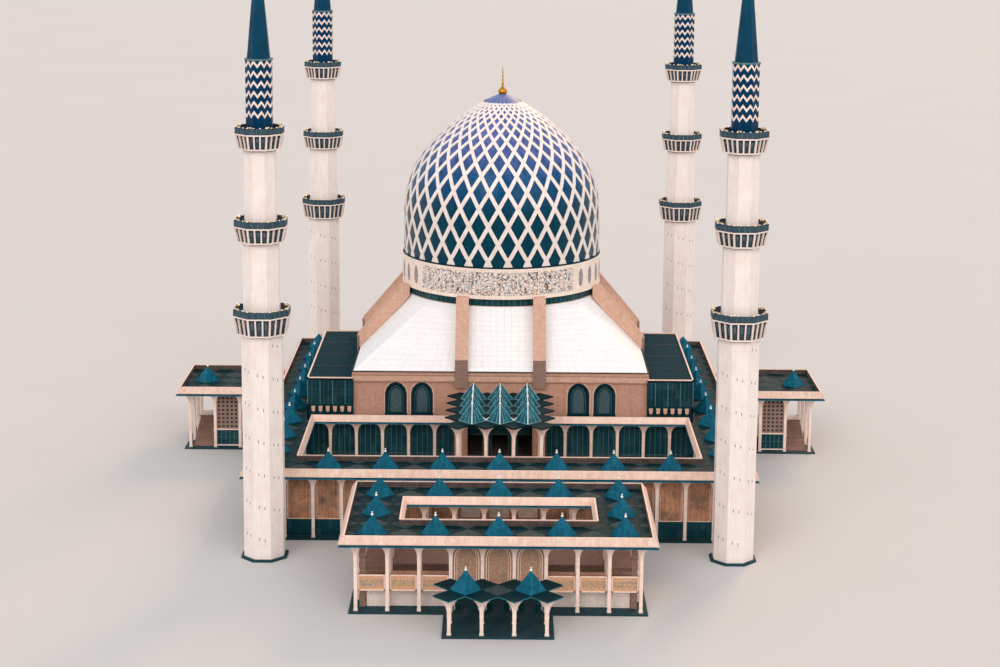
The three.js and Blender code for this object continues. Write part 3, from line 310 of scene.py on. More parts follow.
@dataclass(frozen=True)
class GlazedMosaic(Finish):
    """Glazed ceramic pieces in an interlace: bent strokes of two glazes over a pale ground."""

    ground: str
    under: tuple[str, str]
    over: tuple[str, str]
    cell_mm: float
    stroke: float = 0.16
    curl: float = 1.1

    def surface(self, tree: NodeTree, place: NodeSocket) -> dict:
        """Lay two nets of bent strokes, the darker one on top.

        Args:
            tree: The node tree.
            place: The place on the object.

        Returns:
            The shader's values.
        """
        scale = REAL / self.cell_mm
        bend = add_node(tree, "TexNoise", {
            "Scale": scale * 0.9, "Detail": 2.0, "Vector": place}).outputs["Color"]
        shift = add_node(tree, "VectorMath", {
            "operation": "SCALE", 0: bend, "Scale": self.curl / scale}).outputs[0]
        bent = add_node(tree, "VectorMath", {"operation": "ADD", 0: place, 1: shift}).outputs[0]
        shades = add_node(tree, "TexNoise", {
            "Scale": scale * 0.7, "Detail": 1.0, "Vector": place}).outputs[0]
        pick = add_node(tree, "MapRange", {0: shades, 1: 0.44, 2: 0.56}).outputs[0]
        colour: NodeSocket | Sequence[float] = linear(self.ground)
        stroke = pick
        for ratio, width, glazes in ((0.8, 0.75, self.under), (1.0, 1.0, self.over)):
            net = add_node(tree, "TexVoronoi", {
                "Scale": scale * ratio, "feature": "DISTANCE_TO_EDGE", "Vector": bent}).outputs[0]
            limit = self.stroke * width
            stroke = add_node(tree, "MapRange", {
                0: net, 1: limit * 0.6, 2: limit, 3: 1.0, 4: 0.0}).outputs[0]
            glaze = add_node(tree, "Mix", {
                "data_type": "RGBA", 0: pick, 6: linear(glazes[0]), 7: linear(glazes[1])}).outputs[2]
            colour = add_node(tree, "Mix", {"data_type": "RGBA", 0: stroke, 6: colour, 7: glaze}).outputs[2]
        return {
            "Base Color": colour,
            "Roughness": add_node(tree, "MapRange", {0: shades, 3: 0.3, 4: 0.55}).outputs[0],
            "Normal": add_node(tree, "Bump", {
                "Strength": 0.3, "Distance": 0.002, "Height": stroke}).outputs[0]}


@dataclass(frozen=True)
class TintedGlass(Finish):
    """Dark solar glass: nearly black with a teal cast, and each sheet mirrors a little differently."""

    name: str = "tinted float glass, teal"
    deep: str = "#11424B"
    pale: str = "#2E5B64"
    sheet_mm: float = 1400

    def surface(self, tree: NodeTree, place: NodeSocket) -> dict:
        """Lay sheets of slightly different tint.

        Args:
            tree: The node tree.
            place: The place on the object.

        Returns:
            The shader's values.
        """
        plane = face_plane(tree, place)
        sheets = add_node(tree, "TexBrick", {
            "offset": 0.0, "Scale": 1.0, "Color1": linear(self.deep), "Color2": linear(self.pale),
            "Mortar": linear("#0A1A1E"), "Mortar Size": 0.002, "Bias": -0.3,
            "Brick Width": self.sheet_mm / REAL, "Row Height": 1.6 * self.sheet_mm / REAL,
            "Vector": plane}).outputs[0]
        waves = add_node(tree, "TexNoise", {"Scale": 5.0, "Detail": 2.0, "Vector": plane}).outputs
        return {
            "Base Color": add_node(tree, "Mix", {
                "data_type": "RGBA", "blend_type": "MULTIPLY", 0: 0.5, 6: sheets,
                7: waves["Color"]}).outputs[2],
            "Roughness": add_node(tree, "MapRange", {0: waves[0], 3: 0.1, 4: 0.24}).outputs[0],
            "Normal": add_node(tree, "Bump", {
                "Strength": 0.08, "Distance": 0.01, "Height": waves[0]}).outputs[0],
            "IOR": 1.5, "Specular Tint": linear("#6FA9B2")}


@dataclass(frozen=True)
class Gilding(Finish):
    """Gold leaf or gold anodised metal: warm, bright where it turns to the light, faintly hammered."""

    name: str = "gilded bronze"
    tone: str = "#D99A35"
    shade: str = "#B67A22"

    def surface(self, tree: NodeTree, place: NodeSocket) -> dict:
        """Give metal an uneven polish.

        Args:
            tree: The node tree.
            place: The place on the object.

        Returns:
            The shader's values.
        """
        dents = add_node(tree, "TexNoise", {"Scale": 40.0, "Detail": 3.0, "Vector": place}).outputs[0]
        return {
            "Base Color": add_node(tree, "Mix", {
                "data_type": "RGBA", 0: dents, 6: linear(self.tone), 7: linear(self.shade)}).outputs[2],
            "Roughness": add_node(tree, "MapRange", {0: dents, 3: 0.2, 4: 0.42}).outputs[0],
            "Normal": add_node(tree, "Bump", {
                "Strength": 0.2, "Distance": 0.002, "Height": dents}).outputs[0],
            "Metallic": 1.0}


@dataclass(frozen=True)
class StudioPaint(Finish):
    """Matt pale paint of the studio floor, a little cloudy."""

    name: str = "matt studio floor, pale"
    tone: str = "#C3C1BF"
    light: str = "#C8C6C3"

    def surface(self, tree: NodeTree, place: NodeSocket) -> dict:
        """Blend two close tones in wide clouds.

        Args:
            tree: The node tree.
            place: The place on the object.

        Returns:
            The shader's values.
        """
        clouds = add_node(tree, "TexNoise", {"Scale": 0.15, "Detail": 3.0, "Vector": place}).outputs[0]
        return {"Roughness": 0.9, "Base Color": add_node(tree, "Mix", {
            "data_type": "RGBA", 0: clouds, 6: linear(self.tone), 7: linear(self.light)}).outputs[2]}


# Cast stone of white cement and pink marble chips, in long slabs with fine joints, toned a little darker
# than its rim copy below as painted shade on the fascias
CAST_STONE = Coursed("cast stone, cream and pink", "#DBBBA8", "#E3C9BA", "#C48F70", "#C69F88",
                     1010, 2300, 22, 0.62, streaks=0.25, relief=0.12, mottle_mm=1300)
# The same cast stone painted lighter for the rims, frames and caps: a lit copy, as painted light
RIM_STONE = Coursed("cast stone, painted lighter", "#F1CFBC", "#F6DBCC", "#DDAA8C", "#DDB8A2",
                    1010, 2300, 22, 0.62, streaks=0.2, relief=0.12, mottle_mm=1300)
# Cast stone of the drum: the palest, with hardly a joint
DRUM_STONE = Coursed("cast stone, drum", "#F6E3D4", "#FBECE0", "#E6C5AE", "#E4C8B4",
                     1400, 4000, 14, 0.6, streaks=0.2, relief=0.08)
# The same cast stone rubbed smooth on the columns, with joints that hardly show, and painted lighter as
# painted light on the columns under the roofs
COLUMN_STONE = Coursed("cast stone, rubbed, column, painted lighter", "#F1D7C7", "#F6E2D6", "#D3A994", "#DCBBA8",
                       3000, 2600, 20, 0.6, streaks=0.2, relief=0.12)
# Brown granite blocks in courses of about 0.6 m, with pale and dark blocks mixed
BLOCK_STONE = Coursed("granite block, brown", "#C0907A", "#C79A85", "#A67A68", "#B3866F",
                      1250, 620, 30, 0.78, streaks=0.3, relief=0.15)
# The granite of the ribs and the cornice band painted paler as sunlit: a lit copy with the same courses
RIB_STONE = Coursed("granite block, painted sunlit", "#D0A58E", "#D9B09A", "#B98E79", "#BE947E",
                    1250, 620, 30, 0.78, streaks=0.2, relief=0.15)
# The same granite in shade at the ribs' ends
SHADED_STONE = Coursed("granite block, grey brown", "#8F7265", "#987B6D", "#735A50", "#7A6156",
                       1250, 620, 30, 0.8, streaks=0.2, relief=0.15)
# The same granite, darker and greyer: painted shade on the parapet faces towards the decks, and the dark
# joints, posts and lower walls of the wings
DARK_STONE_AND_SHADE = Coursed("granite block, dark, painted shade", "#4F413C", "#5F4D46", "#24302F", "#6F5A50",
                     841, 2400, 24, 0.85, streaks=0.3, relief=0.3, offset=0.0, mottle_mm=2400,
                     wear_and_shade=0.8)
# Fired brick treads and paving: small reddish units, rough
BRICK = Coursed("fired brick, brown", "#A68370", "#B5917D", "#76594D", "#6E5247",
                700, 300, 50, 0.85, streaks=0.15, relief=0.5)
# Powder-coated aluminium roof panels: clean white, a little warm
COATED_PANEL = Coursed("powder-coated aluminium, white", "#F4F3F2", "#F8F7F6", "#EBE6E2", "#E3DAD3",
                       2600, 1300, 12, 0.45, streaks=0.05, relief=0.05)
# Grey-pink sealant that fills the seams between the roof panels
PANEL_SEAM = Coursed("sealant, pink grey", "#E0D0C6", "#E5D7CE", "#D6C4B9", "#D6C4B9",
                     900, 900, 10, 0.8)
# Render on the lattice bars: warm white with faint pink weather marks
LATTICE_RENDER = Coursed("rendered concrete, warm white", "#EEE2DA", "#F3EBE5", "#DDBDAB", "#E0CABC",
                         2200, 2200, 10, 0.55, streaks=0.25, relief=0.1)
# Glazed ceramic tile on the towers: warm white, streaked pink by the rain
TOWER_TILE = Coursed("glazed ceramic tile, warm white", "#EFE2DB", "#F3E9E3", "#E6CFC2", "#E8D6CB",
                     500, 3000, 12, 0.45, mottle_mm=2600, streaks=0.3, relief=0.05)
# Mineral felt on the flat roofs: nearly black with a teal cast, in wide sheets
ROOF_FELT = Coursed("mineral felt, dark teal", "#0A2E36", "#10363E", "#061E24", "#05161B",
                    3365, 1100, 25, 0.9, streaks=0.0, mirror="#2F7C8A", specular=0.15)
# Worn felt in the flat diamonds: brownish grey
WORN_FELT = Coursed("mineral felt, worn grey", "#3A4646", "#4A4F4B", "#1B3238", "#1C292C",
                    3365, 1100, 25, 0.9, streaks=0.0, mirror="#5F9098", specular=0.15)
# Coated sheet in the folded diamonds over the columns: the darkest roof colour
FOLD_SHEET = Coursed("coated sheet, near black", "#02242A", "#042C32", "#02171B", "#02161A",
                     1700, 700, 20, 0.6, streaks=0.0, mirror="#1F8496", specular=0.15)
# Painted steel sheet on the roof pyramids, with narrow upright seams
TEAL_SHEET = Coursed("painted steel sheet, teal", "#07576D", "#1A6A82", "#07394A", "#0A4A5E",
                     600, 6000, 24, 0.45, mottle_mm=1500, streaks=0.3, offset=0.0, mirror="#5FB4C8",
                     specular=0.3, wear_and_shade=0.6)
# Fritted glass on the canopy pyramids: deep teal with a lighter sheet here and there
TEAL_GLASS = Coursed("fritted glass panel, teal", "#0D4653", "#2A7380", "#06303B", "#0A3A45",
                     900, 700, 30, 0.3, mottle_mm=1500, streaks=0.3, mirror="#5FB0BC")
# Anodised edge strips on the canopy pyramids: pale and thin
EDGE_METAL = Coursed("anodised aluminium, pale teal", "#8DB9BD", "#A5CBCC", "#5E9299", "#5E9299",
                     2000, 2000, 10, 0.4, metallic=0.2)
# Glazed edge tiles of the entrance leaves: bright blue-green
EDGE_TILE = Coursed("glazed tile, turquoise", "#2E93A2", "#3BA5B2", "#1B6A7A", "#1B6A7A",
                    600, 600, 12, 0.35)
# Painted sheet on the spires: deep blue, nearly plain
SPIRE_SHEET = Coursed("painted steel sheet, deep blue", "#06384F", "#0A415A", "#042A3E", "#042A3E",
                      1200, 3200, 18, 0.42, mottle_mm=2600, mirror="#5F8FB4")
# Small dark tiles behind the chevrons
NAVY_TILE = Coursed("glazed ceramic tile, navy", "#052E4D", "#083A5C", "#031E36", "#04253F",
                    500, 500, 25, 0.35, relief=0.15, mirror="#4A86B0")
# White tiles of the chevrons, ribs and rings, a little pink
WHITE_TILE = Coursed("glazed ceramic tile, white", "#ECD9CF", "#F2E4DB", "#DFBFAD", "#DDC3B5",
                     500, 500, 18, 0.4, relief=0.1)
# Painted steel of railings, frames and window bars
DARK_PAINT = Coursed("painted steel, dark teal", "#0A2A33", "#10343D", "#061E26", "#061E26",
                     1600, 1600, 15, 0.5, mirror="#4F97A5", specular=0.3)
# Painted steel of the gallery railings: blue grey
RAIL_PAINT = Coursed("painted steel, blue grey", "#213D4C", "#30505F", "#142A36", "#142A36",
                     300, 900, 30, 0.5, offset=0.0, wear_and_shade=0.7)
# Painted steel of the gallery cages and the stair slits: lighter grey blue
CAGE_PAINT = Coursed("painted steel, grey", "#4E6270", "#5C7080", "#33444F", "#33444F",
                     300, 900, 20, 0.5, offset=0.0, wear_and_shade=0.7)
# Edges that divide the back of the parapets, in a granite tone painted dark as shade
SHADED_EDGE_STONE = Coursed("granite edge, painted shade", "#6B5850", "#76625A", "#3F3A38", "#5A4B45",
                     841, 2400, 20, 0.85, streaks=0.3, relief=0.2, offset=0.0, wear_and_shade=0.8)
# Frosted pane in the middle of the pointed windows: greyish teal
FROSTED = Coursed("frosted glass, grey teal", "#3A5459", "#445F63", "#2C4449", "#2C4449",
                  700, 900, 12, 0.35, streaks=0.2)
# Painted steel of the mullions that catch the light
MULLION_PAINT = Coursed("painted steel, grey teal", "#4E6E74", "#5A7A80", "#37545A", "#37545A",
                        1600, 1600, 15, 0.5)
# Painted soffit edge under every fascia: clear blue
BLUE_PAINT = Coursed("painted soffit, blue", "#1B5970", "#2B7288", "#0E4052", "#0E4052",
                     1680, 1680, 15, 0.6, mirror="#5F9CC0")
# Painted sheet on the cone at the dome's top: violet blue with upright seams
CAP_SHEET = Coursed("painted sheet, violet blue", "#5A6DA2", "#6679AC", "#3A4E82", "#46588C",
                    800, 6000, 25, 0.4, offset=0.0)
# Opal glass and white ceramic of globes and finials
LAMP_GLASS = Coursed("opal glass, white", "#F6EFE8", "#FAF6F1", "#EBD9CB", "#EBD9CB",
                     9000, 9000, 5, 0.3, streaks=0.0, relief=0.0)
# Painted housings of the floodlights: pale gold
LAMP_METAL = Coursed("painted aluminium, pale gold", "#EACB96", "#F2D9AC", "#C49C62", "#C49C62",
                     900, 900, 8, 0.35, metallic=0.3)
# Terrazzo of the main floor
FLOOR_STONE = Coursed("terrazzo tile, pale", "#C9BDB0", "#D6CBBF", "#9C8F83", "#948679",
                      600, 600, 20, 0.5)
# Slate paving of the ground slab: dark teal grey
SLATE = Coursed("slate paving, dark", "#1B3A42", "#25454C", "#0F262D", "#0C2026",
                900, 900, 25, 0.7, mirror="#5F97A2")
# Sandstone panels of the podium: tan and orange, with broad dark weathering that is partly painted shade of
# the arches on the wall
PANEL_STONE = Coursed("sandstone panel, tan", "#A27B64", "#CF9066", "#544E48", "#8A6C5A",
                      420, 420, 14, 0.75, mottle_mm=4200, streaks=0.6, relief=0.15, wear_and_shade=1.0)
# Marble of the portico's lower walls: nearly white
PALE_MARBLE = Coursed("marble slab, off-white", "#E3D3C8", "#EADDD4", "#CDB5A6", "#C9B3A5",
                      1100, 1500, 14, 0.4, streaks=0.2, relief=0.06)
# Glazed pieces of the drum's wide fields: cream with tan and slate strokes
DRUM_MOSAIC = GlazedMosaic("glazed mosaic, cream, tan and slate", "#F7E8DC",
                           ("#DDA87C", "#E6BE9C"), ("#243E50", "#A9B6BF"), 820, 0.105)
# Glazed pieces in the middle of the portico's parapets
PARAPET_MOSAIC = GlazedMosaic("glazed mosaic, tan and teal", "#CFA07A",
                              ("#B97F56", "#C99A5E"), ("#6F8C88", "#A08468"), 520, 0.12)
# Glazed pieces along the parapets' edges
EDGE_MOSAIC = GlazedMosaic("glazed mosaic, apricot", "#DDA984",
                           ("#C98A60", "#D9A070"), ("#B98A6A", "#A99070"), 420, 0.1)
# Glazed pieces on the portico's arched screens
SCREEN_MOSAIC = GlazedMosaic("glazed mosaic, brown", "#B98A6E",
                             ("#A87052", "#C29468"), ("#8C7466", "#78837C"), 600, 0.1)
# Glazed pieces of the drum's upright motifs
MOTIF_MOSAIC = GlazedMosaic("glazed mosaic, slate motif", "#CDB4A5",
                            ("#9C8A80", "#B08A78"), ("#5E6C80", "#8A8A96"), 460, 0.17)
# The dome's panels, all dark glazing, and what is gilded
ENAMEL = VitreousEnamel()
GLASS = TintedGlass()
GOLD = Gilding()


# Shapes


def ring(radius: float, z: float, sides: int, place: Place = (0.0, 0.0), first: float = 0.0
         ) -> list[Point]:
    """Give the corners of a level regular polygon, from the first corner's angle on.

    Args:
        radius: Distance of the corners from the middle.
        z: Its level.
        sides: The number of corners.
        place: Its middle in plan.
        first: The first corner's angle.

    Returns:
        The corners.
    """
    step = 2 * math.pi / sides
    return [(place[0] + radius * math.cos(first + i * step),
             place[1] + radius * math.sin(first + i * step), z) for i in range(sides)]


def grown(rect: Rect, amount: float) -> Rect:
    """Give a rectangle grown on every side."""
    return (rect[0] - amount, rect[1] + amount, rect[2] - amount, rect[3] + amount)


def grid_rect(half_x: int, front: int, rear: int, grow: float) -> Rect:
    """Give a rectangle between grid lines, grown on every side."""
    return grown((-half_x * HALF_BAY, half_x * HALF_BAY, front * HALF_BAY, rear * HALF_BAY), grow)


def rectangle(rect: Rect, grow: float, z: float) -> list[Point]:
    """Give a rectangle's corners at a level, grown on every side."""
    x0, x1, y0, y1 = grown(rect, grow)
    return [(x0, y0, z), (x1, y0, z), (x1, y1, z), (x0, y1, z)]


def spaced(start: float, end: float, count: int) -> list[float]:
    """Give evenly spaced numbers from start to end, both with them, in count steps."""
    return [start + (end - start) * step / count for step in range(count + 1)]


def smooth_value(steps: Sequence[float], values: Sequence[float], at: float) -> float:
    """Read a smooth curve through given values.

    Args:
        steps: Where the values are given, in rising order.
        values: The values.
        at: Where to read. Beyond the ends the curve stays level.

    Returns:
        The curve's value.
    """
    at = min(max(at, steps[0]), steps[-1])
    low = max(i for i in range(len(steps) - 1) if steps[i] <= at)

    def slope(i: int) -> float:
        """Give the curve's slope at one of its values."""
        before, after = max(i - 1, 0), min(i + 1, len(steps) - 1)
        return (values[after] - values[before]) / (steps[after] - steps[before])

    span = steps[low + 1] - steps[low]
    t = (at - steps[low]) / span
    return ((2 * t ** 3 - 3 * t ** 2 + 1) * values[low] + (t ** 3 - 2 * t ** 2 + t) * span * slope(low)
            + (3 * t ** 2 - 2 * t ** 3) * values[low + 1] + (t ** 3 - t ** 2) * span * slope(low + 1))


class Shape:
    """The closed forms of one piece, gathered before they become a mesh."""

    def __init__(self, finish: Finish) -> None:
        """Start empty, with the finish of all forms that name no other.

        Args:
            finish: That finish.
        """
        self.finish = finish
        self.points: list[Point] = []
        self.faces: list[tuple[int, ...]] = []
        self.finishes: list[Finish] = []
        self.tints: list[float] = []

    def solid(self, points: Sequence[Point], faces: Iterable[Sequence[int]],
              finish: Finish | None = None, tint: float = 0.5) -> None:
        """Add one closed form and turn its faces outwards.

        Args:
            points: Its corners.
            faces: Its faces as corner numbers.
            finish: Its finish.
            tint: The form's own shade, from 0 to 1.
        """
        faces = [tuple(face) for face in faces]
        volume = 0.0
        for face in faces:
            ax, ay, az = points[face[0]]
            for second, third in zip(face[1:-1], face[2:]):
                bx, by, bz = points[second]
                cx, cy, cz = points[third]
                volume += (ax * (by * cz - bz * cy) + ay * (bz * cx - bx * cz)
                           + az * (bx * cy - by * cx))
        start = len(self.points)
        self.points.extend(points)
        for face in faces:
            turned = face if volume >= 0 else tuple(reversed(face))
            self.faces.append(tuple(start + corner for corner in turned))
        self.finishes += [finish or self.finish] * len(faces)
        self.tints += [tint] * len(faces)

    def loft(self, rings: Sequence[Sequence[Point]], finish: Finish | None = None,
             tube: bool = False) -> None:
        """Skin rings of equal counts, and cap both ends or close them to a tube.

        Args:
            rings: Corner lists in order.
            finish: The form's finish.
            tube: Join the last ring to the first.
        """
        count = len(rings[0])
        faces: list[tuple[int, ...]] = []
        for band in range(len(rings) if tube else len(rings) - 1):
            low = band * count
            high = (band + 1) % len(rings) * count
            for step in range(count):
                after = (step + 1) % count
                faces.append((low + step, low + after, high + after, high + step))
        if not tube:
            faces.append(tuple(reversed(range(count))))
            faces.append(tuple(range((len(rings) - 1) * count, len(rings) * count)))
        self.solid([point for level in rings for point in level], faces, finish)

    def box(self, x0: float, x1: float, y0: float, y1: float, z0: float, z1: float,
            finish: Finish | None = None) -> None:
        """Add an upright block between two corners."""
        rect = (min(x0, x1), max(x0, x1), min(y0, y1), max(y0, y1))
        self.loft([rectangle(rect, 0, z0), rectangle(rect, 0, z1)], finish)

    def post(self, x: float, y: float, half_x: float, half_y: float, low: float, high: float,
             finish: Finish | None = None) -> None:
        """Add an upright block about a place."""
        self.box(x - half_x, x + half_x, y - half_y, y + half_y, low, high, finish)

    def bar(self, start: Point, end: Point, width: float, depth: float,
            finish: Finish | None = None, out: Point = (0.0, 0.0, 1.0)) -> None:
        """Add a straight bar.

        Args:
            start: Middle of its first end.
            end: Middle of its last end.
            width: Size across, at right angles to out.
            depth: Size along out.
            finish: Its finish.
            out: The way that its depth looks.
        """
        first, last = Vector(start), Vector(end)
        way = (last - first).normalized()
        side = way.cross(Vector(out)).normalized() * width / 2
        back = side.cross(way).normalized() * depth / 2
        ends = [[tuple(p + a * side + b * back) for a, b in ((-1, -1), (1, -1), (1, 1), (-1, 1))]
                for p in (first, last)]
        self.loft(ends, finish)

    def turned(self, profile: Sequence[Place], sides: int, place: Place = (0.0, 0.0),
               finish: Finish | None = None, tube: bool = False) -> None:
        """Turn a profile of radius and level about an upright axis."""
        self.loft([ring(r, z, sides, place) for r, z in profile], finish, tube)

    def hoop(self, inner: float, outer: float, low: float, high: float, sides: int,
             finish: Finish | None = None) -> None:
        """Add a hoop of rectangular section about the dome's axis."""
        self.turned([(inner, low), (outer, low), (outer, high), (inner, high)], sides,
                    finish=finish, tube=True)

    def band(self, rect: Rect, lean: float, thickness: float, low: float, high: float,
             finish: Finish | None = None) -> None:
        """Add a band round a rectangle whose foot stands out by lean.

        Args:
            rect: The rectangle of its outer top edge.
            lean: How far the foot stands out, or in when negative.
            thickness: The band's thickness inwards, or outwards when negative.
            low: Level of the foot.
            high: Level of the top.
            finish: Its finish.
        """
        self.loft([rectangle(rect, lean, low), rectangle(rect, 0, high),
                   rectangle(rect, -thickness, high), rectangle(rect, lean - thickness, low)],
                  finish, tube=True)

    def outline_bar(self, outline: Sequence[Point], width: float, depth: float,
                    finish: Finish | None = None, out: Point = (0.0, -1.0, 0.0)) -> None:
        """Add bars along an outline of points."""
        for first, last in zip(outline, outline[1:]):
            self.bar(first, last, width, depth, finish, out)

    def moved(self, move: Callable[[Point], Point], flip: bool = False) -> Shape:
        """Give the shape with every point moved, and its faces turned over after a reflection.

        Args:
            move: Gives a point's new place.
            flip: Turn the faces over.

        Returns:
            The new shape.
        """
        other = Shape(self.finish)
        other.points = [move(point) for point in self.points]
        other.faces = [tuple(reversed(face)) if flip else face for face in self.faces]
        other.finishes, other.tints = list(self.finishes), list(self.tints)
        return other

    def mirrored(self) -> Shape:
        """Give the shape reflected from left to right."""
        return self.moved(lambda point: (-point[0], point[1], point[2]), flip=True)

    def add(self, other: Shape, quarters: int = 0) -> None:
        """Take over another shape's forms, turned by quarter turns about the dome's axis.

        Args:
            other: The other shape.
            quarters: The number of quarter turns.
        """
        cosine, sine = ((1, 0), (0, 1), (-1, 0), (0, -1))[quarters]
        start = len(self.points)
        self.points += [(cosine * x - sine * y, sine * x + cosine * y, z) for x, y, z in other.points]
        self.faces += [tuple(start + corner for corner in face) for face in other.faces]
        self.finishes += other.finishes
        self.tints += other.tints

    def mesh(self, name: str, smooth: float = 0.0) -> Mesh:
        """Make the mesh with its materials, and with each form's shade in the colour layer tint.

        Args:
            name: The mesh's name.
            smooth: Faces that meet at less than this angle in degrees are shaded smooth.

        Returns:
            The mesh.
        """
        mesh = bpy.data.meshes.new(name)
        mesh.from_pydata(self.points, [], self.faces)
        numbers = {finish.name: number for number, finish in enumerate(dict.fromkeys(self.finishes))}
        mesh.polygons.foreach_set("material_index", [numbers[finish.name] for finish in self.finishes])
        for finish in dict.fromkeys(self.finishes):
            mesh.materials.append(finish.material())
        layer = mesh.color_attributes.new("tint", "FLOAT_COLOR", "CORNER")
        shades: list[float] = []
        for face, tint in zip(self.faces, self.tints):
            shades.extend((tint, tint, tint, 1.0) * len(face))
        layer.data.foreach_set("color", shades)
        mesh.update()
        if smooth:
            mesh.shade_smooth()
            mesh.set_sharp_from_angle(angle=math.radians(smooth))
        return mesh

    def piece(self, name: str, slot: Slot, nodes: Sequence[str] = (), smooth: float = 0.0) -> None:
        """Put the shape in the scene as one piece, in place of its nodes."""
        place_piece(name, self.mesh(name, smooth), nodes)


def place_piece(name: str, mesh: Mesh, nodes: Sequence[str] = (),
                at: Point = (0.0, 0.0, 0.0), turn: float = 0.0) -> None:
    """Put one piece in the scene, on its body and in place of its nodes.

    Args:
        name: The piece's name.
        mesh: Its mesh, which pieces of one kind may share.
        nodes: The nodes it stands for.
        at: Where it goes.
        turn: How far it is turned about its upright axis.
    """
    piece = bpy.data.objects.new(name, mesh)
    bpy.context.scene.collection.objects.link(piece)
    piece.location = at
    piece.rotation_euler.z = turn
    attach(piece, ROOT)
    if nodes:
        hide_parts(*nodes)
    LOG.info("%s: %d faces", name, len(mesh.polygons))


def dress_nodes(finish: Finish, *nodes: str) -> None:
    """Give nodes that stay their finish.

    Args:
        finish: The finish.
        nodes: The nodes' names.
    """
    for node in nodes:
        piece = bpy.data.objects[node]
        piece.data.materials.clear()
        piece.data.materials.append(finish.material())
        LOG.info("%s: dressed", node)


def all_sides(side: Shape) -> Shape:
    """Give the shape of one side set up on all four sides of the dome's axis.

    Args:
        side: The front side.

    Returns:
        The shape of all four.
    """
    shape = Shape(side.finish)
    for quarter in range(4):
        shape.add(side, quarter)
    return shape


def odd_steps(first: int, last: int) -> list[float]:
    """Give every second grid line from first to last, in metres."""
    return [step * HALF_BAY for step in range(first, last + 1, 2)]


def across(first: int, last: int, y: int) -> list[Place]:
    """Give the places of a row from left to right."""
    return [(x, y * HALF_BAY) for x in odd_steps(first, last)]


def along(x: int, first: int, last: int) -> list[Place]:
    """Give the places of a row from front to back."""
    return [(x * HALF_BAY, y) for y in odd_steps(first, last)]


def both_sides(places: Iterable[Place]) -> list[Place]:
    """Give places and their reflections in the middle plane."""
    places = list(places)
    return places + [(-x, y) for x, y in places if x]


def diamond(place: Place, half: float, z: float) -> list[Point]:
    """Give the corners of a level diamond: right, back, left and front."""
    return [(place[0] + a * half, place[1] + b * half, z) for a, b in ((1, 0), (0, 1), (-1, 0), (0, -1))]


def flared_column(shape: Shape, place: Place, foot: float, reach: Reach) -> None:
    """Add a slender square column that opens upwards into arches.

    Args:
        shape: The shape it goes to.
        place: Its axis in plan.
        foot: Level of its foot.
        reach: How far it reaches left, right, to the front and back at the crown.
    """
    x, y = place

    def level(share: float, z: float, more: float = 0.0) -> list[Point]:
        """Give the column's section at one level.

        Args:
            share: How far the flare reaches, from 0 to 1.
            z: The level.
            more: How much wider it is.

        Returns:
            The section's corners.
        """
        left, right, front, back = (COLUMN_HALF + more + (far - COLUMN_HALF) * share for far in reach)
        return [(x - left, y - front, z), (x + right, y - front, z),
                (x + right, y + back, z), (x - left, y + back, z)]

    rings = [level(0, foot, 0.007), level(0, foot + 0.04, 0.007), level(0, foot + 0.045),
             level(0, SPRING - 0.045), level(0, SPRING - 0.04, 0.005), level(0, SPRING - 0.005, 0.005),
             level(0, SPRING)]
    for angle in spaced(0, math.pi / 2, 8)[1:]:
        rings.append(level(1 - math.cos(angle), SPRING + (CROWN - SPRING) * math.sin(angle)))
    shape.loft(rings)


def vault_column(shape: Shape, place: Place, foot: float, spring: float, plane: float) -> None:
    """Add a column that opens into a folded vault and ends in a full roof diamond.

    Args:
        shape: The shape it goes to.
        place: Its axis in plan.
        foot: Level of its foot.
        spring: Level where the vault starts.
        plane: Level of the diamond.
    """
    x, y = place

    def level(share: float, z: float, more: float = 0.0) -> list[Point]:
        """Give the eight-sided section between the square foot and the diamond head.

        Args:
            share: How far the vault reaches, from 0 to 1.
            z: The level.
            more: How much wider it is.

        Returns:
            The section's corners.
        """
        tip = COLUMN_HALF + more + (HALF_BAY - COLUMN_HALF) * share
        flank = COLUMN_HALF + more + (HALF_BAY / 2 - COLUMN_HALF) * share
        return [(x + a * (flank if a and b else tip), y + b * (flank if a and b else tip), z)
                for a, b in ((1, 0), (1, 1), (0, 1), (-1, 1), (-1, 0), (-1, -1), (0, -1), (1, -1))]

    rings = [level(0, foot, 0.01), level(0, foot + 0.03, 0.01), level(0, foot + 0.034),
             level(0, spring - 0.034), level(0, spring - 0.03, 0.006), level(0, spring, 0.006)]
    for angle in spaced(0, math.pi / 2, 10)[1:]:
        rings.append(level(1 - math.cos(angle), spring + (plane - spring) * math.sin(angle)))
    shape.loft(rings)


def column_row(shape: Shape, places: Sequence[Place], foot: float, reach: Reach) -> None:
    """Add a straight row of flared columns under one beam.

    Args:
        shape: The shape it goes to.
        places: The columns' places.
        foot: Level of their feet.
        reach: The flares' reach, as of one column.
    """
    for place in places:
        flared_column(shape, place, foot, reach)
    xs, ys = zip(*places)
    left, right, front, back = reach
    shape.box(min(xs) - left, max(xs) + right, min(ys) - front, max(ys) + back, BEAM_FOOT, BEAM_TOP)


def clipped(face: Sequence[Point], rect: Rect) -> list[Point]:
    """Cut a flat face to a rectangle in plan, and give the corners of what lies inside.

    Args:
        face: The face's corners.
        rect: The rectangle.

    Returns:
        The corners that are left, or none.
    """
    points = list(face)
    for axis, limit, sign in ((0, rect[0], 1), (0, rect[1], -1), (1, rect[2], 1), (1, rect[3], -1)):
        kept: list[Point] = []
        for here, there in zip(points, points[1:] + points[:1]):
            a, b = sign * (here[axis] - limit), sign * (there[axis] - limit)
            if a >= 0:
                kept.append(here)
            if a * b < 0:
                share = a / (a - b)
                kept.append(tuple(p + (q - p) * share for p, q in zip(here, there)))
        points = kept
        if len(points) < 3:
            return []
    return points


